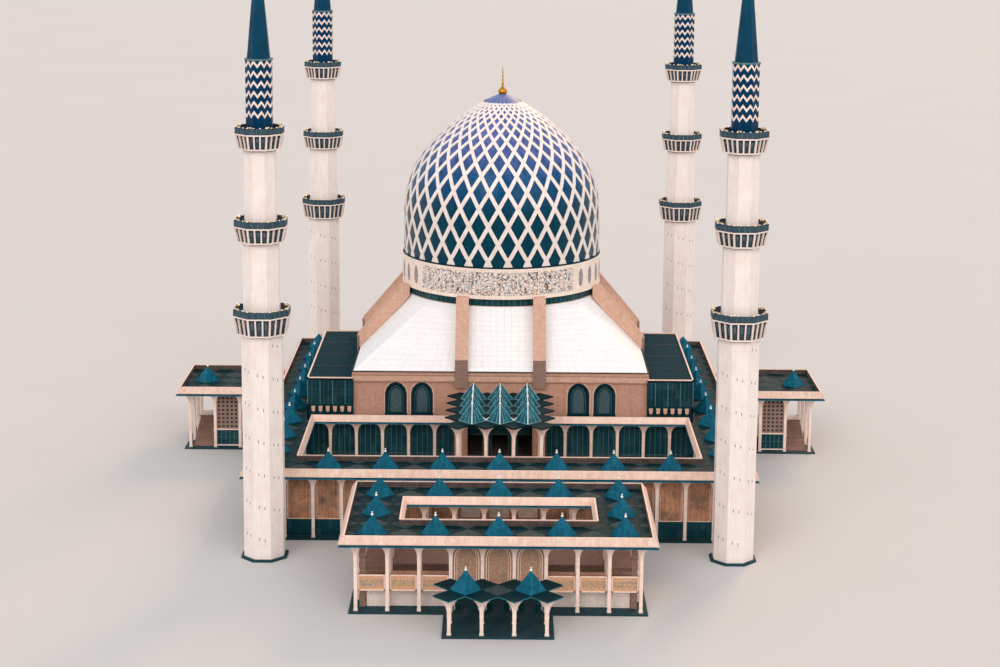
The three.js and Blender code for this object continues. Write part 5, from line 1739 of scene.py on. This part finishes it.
    def motif(self, shape: Shape, turn: float) -> None:
        """Lay an upright lozenge with a frame on the drum.

        Args:
            shape: The shape it goes to.
            turn: Its angle in degrees.
        """
        angle = math.radians(-90 + turn)
        way = Vector((math.cos(angle), math.sin(angle), 0))
        side = Vector((-way.y, way.x, 0))
        middle = (self.clerestory_high + self.drum_high) / 2
        for half, rise, depth, finish in (
                (0.115, 0.27, 0.0045, DRUM_STONE), (0.097, 0.245, 0.002, MOTIF_MOSAIC)):
            outline = []
            for x, z, _ in ring(1.0, 0.0, 16):
                outline.append((half * math.copysign(abs(x) ** 0.9, x),
                                middle + rise * math.copysign(abs(z) ** 1.1, z)))
            shape.loft([[tuple(way * math.sqrt((self.drum_radius - d) ** 2 - x * x) + side * x
                               + Vector((0, 0, z))) for x, z in outline] for d in (0.02, depth)], finish)

    def drum(self) -> None:
        """Build the drum: wide mosaic fields in raised frames, and narrow fields with upright motifs."""
        shape = Shape(DRUM_STONE)
        r, low, high = self.drum_radius, self.clerestory_high, self.drum_high
        shape.hoop(self.lining, r - 0.008, low, high, self.sides)
        for foot, head, inset in ((low, low + 0.045, 0.0), (high - 0.05, high, 0.0),
                                  (low + 0.07, low + 0.082, 0.004), (high - 0.085, high - 0.073, 0.004)):
            shape.hoop(r - 0.02, r - inset, foot, head, self.sides)
        for turn in (self.drum_turn, self.drum_turn + 180):
            parts = spaced(turn - self.field_half, turn + self.field_half, 8)
            for start, end in zip(parts, parts[1:]):
                self.field(shape, start + 0.25, end - 0.25, low + 0.1, high - 0.09, 0.005, DRUM_MOSAIC)
            for sign in (-1, 1):
                edge = turn + sign * (self.field_half + 0.8)
                self.field(shape, edge - 0.3, edge + 0.3, low + 0.06, high - 0.065, 0.0)
                for place in self.motifs:
                    self.motif(shape, turn + sign * place)
                    edge = turn + sign * (place + 4.9)
                    self.field(shape, edge - 0.25, edge + 0.25, low + 0.08, high - 0.08, 0.003)
        shape.piece("drum_fields", Slot.CREAM, ["drum"], 20)

    def finial(self) -> None:
        """Build the gilded bulb and spike with its beads."""
        z = self.bulb_low
        profile = [(0.08, z), (0.1, z + 0.02), (0.127, z + 0.07), (0.12, z + 0.11), (0.085, z + 0.15),
                   (0.045, z + 0.19), (0.022, z + 0.24)]
        for bead, size in ((z + 0.3, 0.034), (z + 0.4, 0.028), (z + 0.49, 0.022), (z + 0.57, 0.018)):
            profile += [(0.014, bead - size * 1.6), (size * 0.8, bead - size * 0.7), (size, bead),
                        (size * 0.8, bead + size * 0.7), (0.013, bead + size * 1.6)]
        shape = Shape(GOLD)
        shape.turned([*profile, *self.spike], 24)
        shape.piece("finial_gilded", Slot.GOLD, ["finial"], 50)

    def build(self) -> None:
        """Build everything from the clerestory up."""
        self.clerestory()
        self.drum()
        self.lattice()
        self.enamel()
        self.cap()
        self.finial()


@dataclass
class Wing:
    """A glazed wing beside the hall: a flat roof in four strips over framed curtain walls."""

    side: int
    inner: float = 3.775
    outer: float = 4.95
    front: float = -3.86
    rear: float = 1.44
    floor: float = 1.62
    sill: float = 2.03
    transom: float = 2.36
    roof: float = 2.68
    top: float = 2.74
    strips: int = 4
    front_bars: int = 12
    bar_pitch: float = 0.107
    side_bays: int = 24
    blocks: int = 6
    block_pitch: float = 0.185

    def bars(self, shape: Shape) -> None:
        """Add the bars of the curtain walls, the joints of the roof and the blocks before the sill.

        Args:
            shape: The shape it goes to.
        """
        inner, outer, front, rear, sill, roof = (
            self.inner, self.outer, self.front, self.rear, self.sill, self.roof)
        for y in spaced(front, rear, self.strips)[1:-1]:
            shape.box(inner, outer, y - 0.005, y + 0.005, roof + 0.02, self.top - 0.024, DARK_STONE_AND_SHADE)
            shape.post(outer - 0.01, y, 0.01, 0.03, self.floor, roof, DARK_STONE_AND_SHADE)
        for step in range(self.front_bars):
            x = outer - 0.01 - step * self.bar_pitch
            half, finish = (0.004, DARK_STONE_AND_SHADE) if step % 3 else (0.009, MULLION_PAINT)
            shape.post(x, front + 0.01, half, 0.01, sill, roof, finish)
        for y in spaced(front, rear, self.side_bays):
            shape.post(outer - 0.009, y, 0.009, 0.006, sill, roof, MULLION_PAINT)
        z = self.transom
        shape.box(inner, outer, front + 0.004, front + 0.016, z, z + 0.01, DARK_PAINT)
        shape.box(outer - 0.014, outer - 0.004, front, rear, z, z + 0.01, DARK_PAINT)
        for step in range(self.blocks):
            x = inner + 0.09 + step * self.block_pitch
            rect = (x - 0.05, x + 0.05, front - 0.07, front - 0.01)
            shape.loft([rectangle(rect, -0.012, 1.85), rectangle(rect, 0, 1.96),
                        rectangle(rect, 0, 1.985)], RIB_STONE)
            shape.post(x, front - 0.02, 0.012, 0.03, 1.8, 1.86, DARK_STONE_AND_SHADE)

    def build(self) -> None:
        """Build the wing."""
        inner, outer, front, rear, floor, sill, roof, top = (
            self.inner, self.outer, self.front, self.rear, self.floor, self.sill, self.roof, self.top)
        shape = Shape(ROOF_FELT)
        for box in (
                (inner, outer, front, rear, roof - 0.02, roof + 0.03, ROOF_FELT),
                (inner, outer, front, front + 0.03, floor, sill, DARK_PAINT),
                (outer - 0.03, outer, front, rear, floor, sill, DARK_STONE_AND_SHADE),
                (inner, outer, rear - 0.03, rear, floor, roof, DARK_STONE_AND_SHADE),
                (outer - 0.025, outer - 0.013, front + 0.02, rear - 0.02, sill, roof, GLASS),
                (inner + 0.002, outer - 0.02, front + 0.013, front + 0.025, sill, roof, GLASS),
                (inner, outer, front, front + 0.022, roof, top, RIM_STONE),
                (inner, outer, rear - 0.022, rear, roof, top, RIM_STONE),
                (outer - 0.035, outer, front, rear, roof, top, RIM_STONE)):
            shape.box(*box)
        self.bars(shape)
        word = "left" if self.side < 0 else "right"
        made = shape.mirrored() if self.side < 0 else shape
        made.piece(f"wing_shell_{word}", Slot.GLASS, [f"wing_{word}"])


@dataclass
class Portico:
    """The entrance portico: two rings of columns, balconies, arched screens and a roof with an opening."""

    half_x: int = 9
    front: int = -39
    rear: int = -29
    open_x: int = 7
    open_front: int = -37
    open_rear: int = -31
    rear_reach: float = 0.056
    screen_face: float = -13.06
    arch: PointedArch = PointedArch(0.24, 0.04, 1.18, 1.46)
    door_half: float = 0.112
    shade_top: float = 0.6
    parapet_top: float = 0.81
    wall_end: float = 2.81

    def columns(self) -> None:
        """Build the outer and the inner colonnade."""
        length, depth = (FLARE_ALONG, FLARE_ALONG), (FLARE_OUT, FLARE_OUT)
        rings = {
            "outer": (self.half_x, self.front, self.rear, self.rear_reach),
            "inner": (self.open_x, self.open_front, self.open_rear, FLARE_OUT),
        }
        for name, (x, front, rear, reach) in rings.items():
            shape = Shape(COLUMN_STONE)
            column_row(shape, across(-x, x, front), GROUND, (*length, FLARE_OUT, reach))
            column_row(shape, across(-x, x, rear), GROUND, (*length, *depth))
            for side in (-x, x):
                for place in along(side, front + 2, rear - 2):
                    flared_column(shape, place, GROUND, (*depth, *length))
                shape.box(side * HALF_BAY - FLARE_OUT, side * HALF_BAY + FLARE_OUT, front * HALF_BAY,
                          rear * HALF_BAY, BEAM_FOOT, BEAM_TOP)
            shape.piece(f"portico_colonnade_{name}", Slot.CREAM, [f"portico_columns_{name}"], 30)

    def roof(self) -> None:
        """Build the banded roof with its rim round the opening."""
        outer = grid_rect(self.half_x, self.front, self.rear, OVERHANG)
        rim = grid_rect(self.open_x, self.open_front, self.open_rear, -OVERHANG)
        _, x, y0, y1 = outer
        _, rim_x, rim_front, rim_rear = rim
        strips = ((-x, x, y0, rim_front), (-x, x, rim_rear, y1), (-x, -rim_x, rim_front, rim_rear),
                  (rim_x, x, rim_front, rim_rear))
        places = [(step * BAY, row * BAY) for row in (-19, -15) for step in (0, 2, 4)]
        BandedRoof("portico_banded_roof", ("portico_roof",), outer, strips, (rim,),
                   tuple(both_sides([*places, (4 * BAY, -17 * BAY)]))).build()

    def screens(self) -> None:
        """Build the arched frames of the middle bays and dark glass sheets beside their doorways, put there
        as painted shade under the entrance canopy.
        """
        shape = Shape(RIM_STONE)
        y = self.screen_face
        for centre in (-BAY, 0.0, BAY):
            shape.outline_bar(self.arch.outline(centre, -0.018, y - 0.006), 0.028, 0.016)
            shape.outline_bar(self.arch.outline(centre, 0.03, y + 0.024), 0.012, 0.012)
            for side in (-1, 1):
                inner, outer = centre + side * self.door_half, centre + side * (HALF_BAY - 0.01)
                # Dark glass sheets up to shade_top stand in for the shade under the entrance canopy
                shape.box(inner, outer, y - 0.012, y - 0.002, GROUND, self.shade_top, GLASS)
                for z in (0.2, 0.4):
                    shape.box(inner, outer, y - 0.016, y - 0.002, z, z + 0.008, MULLION_PAINT)
        shape.piece("portico_arch_frames", Slot.CREAM)
        dress_nodes(SCREEN_MOSAIC, "portico_screens")

    def parapets(self) -> None:
        """Build the parapets of the outer bays and the low walls behind them."""
        half = Shape(RIM_STONE)
        y, low, top = self.screen_face, LOW_WALL, self.parapet_top
        for left in odd_steps(3, 7):
            x0, x1 = left + COLUMN_HALF + 0.012, left + BAY - COLUMN_HALF - 0.012
            half.box(x0, x1, y - 0.012, y - 0.001, low, low + 0.03)
            half.box(x0, x1, y - 0.016, y + 0.03, top - 0.03, top)
            for x in (x0, x1 - 0.03):
                half.box(x, x + 0.03, y - 0.012, y - 0.001, low, top)
            for foot, head, finish in ((0.03, 0.1, EDGE_MOSAIC), (0.104, 0.24, PARAPET_MOSAIC),
                                       (0.244, 0.33, EDGE_MOSAIC)):
                half.box(x0 + 0.03, x1 - 0.03, y - 0.006, y - 0.001, low + foot, low + head, finish)
        half.box(1.03, 2.29, -12.54, -12.514, MAIN_FLOOR, 0.7, BLOCK_STONE)
        half.box(1.03, 2.38, -11.488, -11.48, GROUND, low, SHADED_STONE)
        half.box(2.3035, self.wall_end, -12.866, -12.852, GROUND, low, PALE_MARBLE)
        for row in range(12):
            z, shift = GROUND + row * 0.122, 0.01 * (row % 2)
            half.box(self.wall_end + 0.02 + shift, 2.96 + shift, -12.9, -12.8, z, z + 0.116, SHADED_STONE)
        shape = Shape(RIM_STONE)
        shape.add(half)
        shape.add(half.mirrored())
        shape.piece("portico_parapets", Slot.CREAM)
        dress_nodes(PALE_MARBLE, "portico_balcony_left", "portico_balcony_right")
        dress_nodes(BRICK, "portico_terrace")

    def build(self) -> None:
        """Build everything of the portico."""
        self.columns()
        self.roof()
        self.screens()
        self.parapets()


@dataclass
class Pavilion:
    """A side pavilion: columns, a pierced tile screen, a stair and a roof with one pyramid."""

    side: int
    inner: int = 19
    outer: int = 25
    half_y: int = 3
    roof_inner: float = 6.195
    reach: float = 0.2
    screen_foot: float = 0.56
    screen_columns: int = 5
    screen_rows: int = 9
    steps: int = 24

    def arcade(self, shape: Shape) -> None:
        """Add the columns with their beams.

        Args:
            shape: The shape it goes to.
        """
        reach = (self.reach, self.reach, self.reach, self.reach)
        places = [place for y in (-self.half_y, self.half_y) for place in across(self.inner, self.outer, y)]
        places += [place for x in (self.inner, self.outer) for place in along(x, -1, 1)]
        for place in places:
            flared_column(shape, place, GROUND, reach)
        x0, x1, y = self.inner * HALF_BAY, self.outer * HALF_BAY, self.half_y * HALF_BAY
        for rect in ((x0, x1, -y, -y), (x0, x1, y, y), (x0, x0, -y, y), (x1, x1, -y, y)):
            shape.box(*grown(rect, self.reach), BEAM_FOOT, BEAM_TOP)

    def screen(self, shape: Shape) -> None:
        """Add the pierced screen in the middle bay, with dark glass behind and below it.

        Args:
            shape: The shape it goes to.
        """
        y = -self.half_y * HALF_BAY
        left, right = (self.inner + 2) * HALF_BAY + 0.05, (self.inner + 4) * HALF_BAY - 0.05
        low, high = self.screen_foot, BEAM_TOP
        for x in spaced(left, right, self.screen_columns):
            shape.post(x, y - 0.001, 0.026, 0.013, low, high, SHADED_STONE)
            shape.post(x, y + 0.01, 0.006, 0.01, 0.1, 0.51, MULLION_PAINT)
        for z in spaced(low, high, self.screen_rows):
            shape.box(left, right, y - 0.012, y + 0.012, z - 0.027, z + 0.027, SHADED_STONE)
        shape.box(left, right, y + 0.02, y + 0.026, 0.1, high, GLASS)
        shape.box(left, right, y + 0.002, y + 0.02, 0.3, 0.31, MULLION_PAINT)
        for z0, z1 in ((0.51, 0.545), (0.07, 0.1)):
            shape.box(left - 0.02, right + 0.02, y - 0.016, y + 0.016, z0, z1)

    def stair(self, shape: Shape) -> None:
        """Add the upper floor and the stair beside it.

        Args:
            shape: The shape it goes to.
        """
        x0, x1, y = self.inner * HALF_BAY, self.outer * HALF_BAY, self.half_y * HALF_BAY
        edge = (self.inner + 4) * HALF_BAY - 0.05
        shape.box(x0, edge + 0.11, -y + 0.028, y, LOW_WALL, MAIN_FLOOR, FLOOR_STONE)
        shape.box(edge, x1, y - 0.51, y, LOW_WALL, MAIN_FLOOR, FLOOR_STONE)
        head = y - 0.5
        levels = spaced(GROUND, MAIN_FLOOR, self.steps)
        for front, low, high in zip(spaced(-y + 0.08, head, self.steps), levels, levels[1:]):
            shape.box(edge + 0.11, x1 - 0.06, front, head + 0.01, low, high, BRICK)

    def build(self) -> None:
        """Build the pavilion as one piece, and its roof."""
        shape = Shape(COLUMN_STONE)
        self.arcade(shape)
        self.screen(shape)
        self.stair(shape)
        word = "left" if self.side < 0 else "right"
        made = shape.mirrored() if self.side < 0 else shape
        made.piece(f"pavilion_arches_{word}", Slot.CREAM, [f"pavilion_{word}_columns"], 30)
        x, y = self.outer * HALF_BAY + OVERHANG, self.half_y * HALF_BAY + OVERHANG
        x0, x1 = sorted((self.side * self.roof_inner, self.side * x))
        rect = (x0, x1, -y, y)
        BandedRoof(f"pavilion_banded_roof_{word}", (f"pavilion_{word}_roof",), rect, (rect,), (),
                   ((self.side * 12 * BAY, 0.0),)).build()


@dataclass
class Minaret:
    """A free-standing tower: an eight-sided shaft in stages, three galleries, a crown and a spire."""

    half_x: float = 5.37
    fronts: tuple[float, float] = (-9.61, 5.85)
    stages: tuple[float, float, float] = (0.452, 0.399, 0.346)
    foot: tuple[float, float, float] = (5.25, 7.35, 9.44)
    floor: tuple[float, float, float] = (5.68, 7.71, 9.79)
    rail: tuple[float, float, float] = (5.85, 7.88, 9.95)
    foot_half: tuple[float, float, float] = (0.548, 0.5, 0.452)
    lip_half: tuple[float, float, float] = (0.63, 0.586, 0.538)
    crown_half: float = 0.288
    crown_top: float = 11.4
    crown_teeth: int = 12
    chevrons: int = 6
    chevron_pitch: float = 0.222
    chevron_steps: int = 48
    chevron_swing: float = 0.055
    chevron_half: float = 0.036
    spire_half: float = 0.25
    apex: float = 14.23
    first_slit: float = 0.51
    slit_pitch: float = 0.765
    slit_turns: int = 6
    slit_gap: float = 0.17
    slit_start: float = 53.5
    slit_half: float = 0.034
    slit_rise: float = 0.022
    chevron_drop: float = 0.075
    plinth: tuple[Place, ...] = ((0.52, 0), (0.52, 0.035), (0.5, 0.05), (0.44, 0.05))

    def octagon(self, half: float, z: float) -> list[Point]:
        """Give the eight corners of a level ring, flat to the front."""
        return ring(half / math.cos(math.pi / 8), z, 8, first=math.pi / 8)

    def stack(self, shape: Shape, profile: Sequence[Place], finish: Finish | None = None,
              tube: bool = False) -> None:
        """Add a form of eight-sided rings, each given by its half width and level."""
        shape.loft([self.octagon(half, z) for half, z in profile], finish, tube)

    def around(self, half: float, turn: float, z: float) -> Point:
        """Give a point on an eight-sided ring.

        Args:
            half: Half width across the flats.
            turn: How far round, in whole flats from corner to corner.
            z: The point's level.

        Returns:
            The point.
        """
        corners = self.octagon(half, z)
        low = math.floor(turn)
        a, b = corners[low % 8], corners[(low + 1) % 8]
        share = turn - low
        return (a[0] + (b[0] - a[0]) * share, a[1] + (b[1] - a[1]) * share, z)

    def facing(self, turn: float) -> Point:
        """Give the outward direction of the flat at a turn."""
        angle = math.pi / 8 + (math.floor(turn) + 0.5) * math.pi / 4
        return (math.cos(angle), math.sin(angle), 0.0)

    def shaft(self, shape: Shape) -> None:
        """Add the stages of the shaft with their slit windows and the plinth.

        Args:
            shape: The shape it goes to.
        """
        lows = (0.0, self.floor[0] - 0.02, self.floor[1] - 0.02)
        for half, low, high in zip(self.stages, lows, self.floor):
            self.stack(shape, [(half, low), (half, high)])
        self.stack(shape, self.plinth, SLATE)
        half = self.stages[0] - 0.004
        for step in range(8 * self.slit_turns):
            for side in (-1, 1):
                turn = self.slit_start - step + side * self.slit_gap
                level = self.first_slit + self.slit_pitch * (step / 8 - side * self.slit_rise)
                shape.bar(self.around(half, turn, level - self.slit_half),
                          self.around(half, turn, level + self.slit_half),
                          0.015, 0.012, CAGE_PAINT, self.facing(turn))

    def cage(self, shape: Shape, stage: int) -> None:
        """Add the slanting ribs of one gallery over its dark cage, and the rings that end them.

        Args:
            shape: The shape it goes to.
            stage: The gallery's number from below.
        """
        foot, floor, shaft = self.foot[stage], self.floor[stage], self.stages[stage]
        low_half, high_half = self.foot_half[stage], self.lip_half[stage]
        core = (*self.stages[1:], self.crown_half)[stage] - 0.02
        self.stack(shape, [(shaft - 0.02, foot - 0.05), (shaft + 0.012, foot - 0.045),
                           (low_half - 0.03, foot), (low_half - 0.045, foot + 0.01),
                           (high_half - 0.06, floor - 0.02), (shaft - 0.03, floor - 0.02)], RAIL_PAINT)
        for inner, outer, low, high in ((low_half - 0.03, low_half + 0.004, foot - 0.014, foot + 0.022),
                                        (core, high_half, floor - 0.03, floor)):
            self.stack(shape, [(inner, low), (outer, low), (outer, high), (inner, high)], WHITE_TILE, True)
        for flat in range(8):
            for share in (0.0, 1 / 3, 2 / 3):
                turn = flat + share
                angle = math.pi / 8 + turn * math.pi / 4
                out = self.facing(turn) if share else (math.cos(angle), math.sin(angle), 0.0)
                shape.bar(self.around(low_half - 0.006, turn, foot),
                          self.around(high_half - 0.026, turn, floor - 0.01),
                          0.034 if share else 0.04, 0.034, WHITE_TILE, out)
            for share in (1 / 6, 0.5, 5 / 6):
                turn = flat + share
                shape.bar(self.around(low_half - 0.034, turn, foot + 0.14),
                          self.around(high_half - 0.052, turn, floor - 0.09),
                          0.055, 0.012, CAGE_PAINT, self.facing(turn))

    def railing(self, shape: Shape, stage: int) -> None:
        """Add one gallery's railing with its posts, globes and floodlights.

        Args:
            shape: The shape it goes to.
            stage: The gallery's number from below.
        """
        floor, rail = self.floor[stage], self.rail[stage]
        wall = self.lip_half[stage] - 0.012
        for outer, inner, low, high in ((wall, wall - 0.006, floor, rail - 0.03),
                                        (wall + 0.004, wall - 0.012, rail - 0.032, rail - 0.018)):
            self.stack(shape, [(outer, low), (outer, high), (inner, high), (inner, low)], RAIL_PAINT, True)
        for flat in range(8):
            for share in (0.25, 0.5, 0.75):
                x, y, _ = self.around(wall, flat + share, rail)
                shape.bar((x, y, floor), (x, y, rail - 0.02), 0.01, 0.012, MULLION_PAINT,
                          self.facing(flat + share))
            for share in (0.0, 0.33, 0.67):
                x, y, _ = self.around(wall - 0.012, flat + share, rail)
                shape.turned([(0.004, rail - 0.03), (0.015, rail - 0.024), (0.02, rail - 0.012),
                              (0.015, rail - 0.002), (0.004, rail)], 8, (x, y), LAMP_GLASS)
            for share in (0.02, 0.16):
                lamp = Vector(self.around(wall - 0.05, flat + share, rail - 0.01))
                out = Vector((lamp.x, lamp.y, 0)).normalized()
                shape.bar(tuple(lamp - out * 0.035 - Vector((0, 0, 0.02))),
                          tuple(lamp + out * 0.025 + Vector((0, 0, 0.012))), 0.032, 0.032, LAMP_METAL)

    def crown(self, shape: Shape) -> None:
        """Add the navy crown with its white chevrons, the lip and the spire.

        Args:
            shape: The shape it goes to.
        """
        low, top, half = self.floor[2] - 0.02, self.crown_top, self.crown_half
        self.stack(shape, [(half, low), (half, top)], NAVY_TILE)
        wide = self.chevron_half
        for row in range(self.chevrons):
            line = []
            for turn in spaced(0.0, 8.0, self.chevron_steps):
                wave = (turn * self.crown_teeth / 8 + 0.25) % 1
                swing = self.chevron_swing * (4 * abs(wave - 0.5) - 1)
                line.append((turn, top - self.chevron_drop - row * self.chevron_pitch + swing))
            for (t0, z0), (t1, z1) in zip(line, line[1:]):
                end = t1 - 1e-6
                shape.loft([[self.around(level, t0, z0 - wide), self.around(level, end, z1 - wide),
                             self.around(level, end, z1 + wide), self.around(level, t0, z0 + wide)]
                            for level in (half - 0.004, half + 0.004)], WHITE_TILE)
        self.stack(shape, [(half, top), (0.303, top), (0.303, top + 0.04), (self.spire_half, top + 0.04)],
                   MULLION_PAINT)
        self.stack(shape, [(self.spire_half, top + 0.03), (0.002, self.apex - 0.001)], SPIRE_SHEET)

    def build(self) -> None:
        """Build one tower and set up all four."""
        shape = Shape(TOWER_TILE)
        self.shaft(shape)
        for stage in range(3):
            self.cage(shape, stage)
            self.railing(shape, stage)
        self.crown(shape)
        mesh = shape.mesh("minaret")
        for depth, y, turn in zip(("front", "rear"), self.fronts, (0.0, math.pi)):
            for word, side in (("left", -1), ("right", 1)):
                place_piece(f"tower_{depth}_{word}", mesh, [f"minaret_{depth}_{word}"],
                            (side * self.half_x, y, 0.0), turn)


# Stage


@dataclass
class Stage:
    """Floor, light and camera."""

    camera_at: Point = (0.05408, -53.47811, 15.50942)
    pitch: float = 0.16939
    yaw: float = -0.0019
    roll: float = 0.00743
    lens: float = 71.815
    shift: float = -0.12
    floor_half: float = 400.0

    def floor(self) -> None:
        """Lay the pale floor."""
        half = self.floor_half
        shape = Shape(StudioPaint())
        shape.box(-half, half, -half, half, -0.2, -0.001)
        floor = bpy.data.objects.new("studio_floor", shape.mesh("studio_floor"))
        bpy.context.scene.collection.objects.link(floor)

    def light(self) -> None:
        """Set a soft pale surround, a broad key from the front left and a warm light from behind."""
        world = bpy.data.worlds.new("studio")
        bpy.context.scene.world = world
        world.use_nodes = True
        back = world.node_tree.nodes["Background"]
        back.inputs["Color"].default_value = linear("#E9ECF2")
        back.inputs["Strength"].default_value = 1.0
        for name, angles, strength, spread, colour in (
                ("key", (56, 0, -24), 0.9, 30, "#FFF5EC"), ("fill", (62, 0, 34), 0.72, 40, "#FFF1E6"),
                ("rim", (-60, 0, -24), 1.2, 14, "#FFC89A")):
            data = bpy.data.lights.new(name, "SUN")
            data.energy = strength
            data.angle = math.radians(spread)
            data.color = linear(colour)[:3]
            lamp = bpy.data.objects.new(name, data)
            lamp.rotation_euler = [math.radians(angle) for angle in angles]
            bpy.context.scene.collection.objects.link(lamp)

    def camera(self) -> None:
        """Set the camera at the building's photographed angle."""
        data = bpy.data.cameras.new("camera")
        data.lens = self.lens
        data.sensor_width = 36.0
        data.shift_y = self.shift
        data.clip_end = 2000.0
        camera = bpy.data.objects.new("camera", data)
        side = Vector((math.cos(self.yaw), -math.sin(self.yaw), 0.0))
        forward = Vector((math.sin(self.yaw) * math.cos(self.pitch),
                          math.cos(self.yaw) * math.cos(self.pitch), -math.sin(self.pitch)))
        upward = side.cross(forward)
        right = side * math.cos(self.roll) + upward * math.sin(self.roll)
        top = upward * math.cos(self.roll) - side * math.sin(self.roll)
        turn = Matrix((right, top, -forward)).transposed()
        camera.matrix_world = Matrix.Translation(self.camera_at) @ turn.to_4x4()
        bpy.context.scene.collection.objects.link(camera)
        bpy.context.scene.camera = camera

    def build(self) -> None:
        """Set up the stage."""
        self.camera()
        self.light()
        self.floor()
        bpy.context.scene.view_settings.view_transform = "Standard"


def main() -> None:
    """Build every sub-assembly round the loaded solids."""
    logging.basicConfig(level=logging.INFO, format="%(message)s")
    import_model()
    Stage().build()
    Podium().build()
    Court().build()
    Canopy("court_canopy", (-21, -13), MAIN_FLOOR, 2.0, 2.39, 2.85, True, (0.0, BAY)).build()
    Canopy("entrance_canopy", (-43, -41), GROUND, 0.44, 0.85, 1.305, False, (BAY,)).build()
    Hall().build()
    Crown().build()
    for side in (-1, 1):
        Wing(side).build()
    Portico().build()
    for side in (-1, 1):
        Pavilion(side).build()
    Minaret().build()


if __name__ == "__main__":
    main()
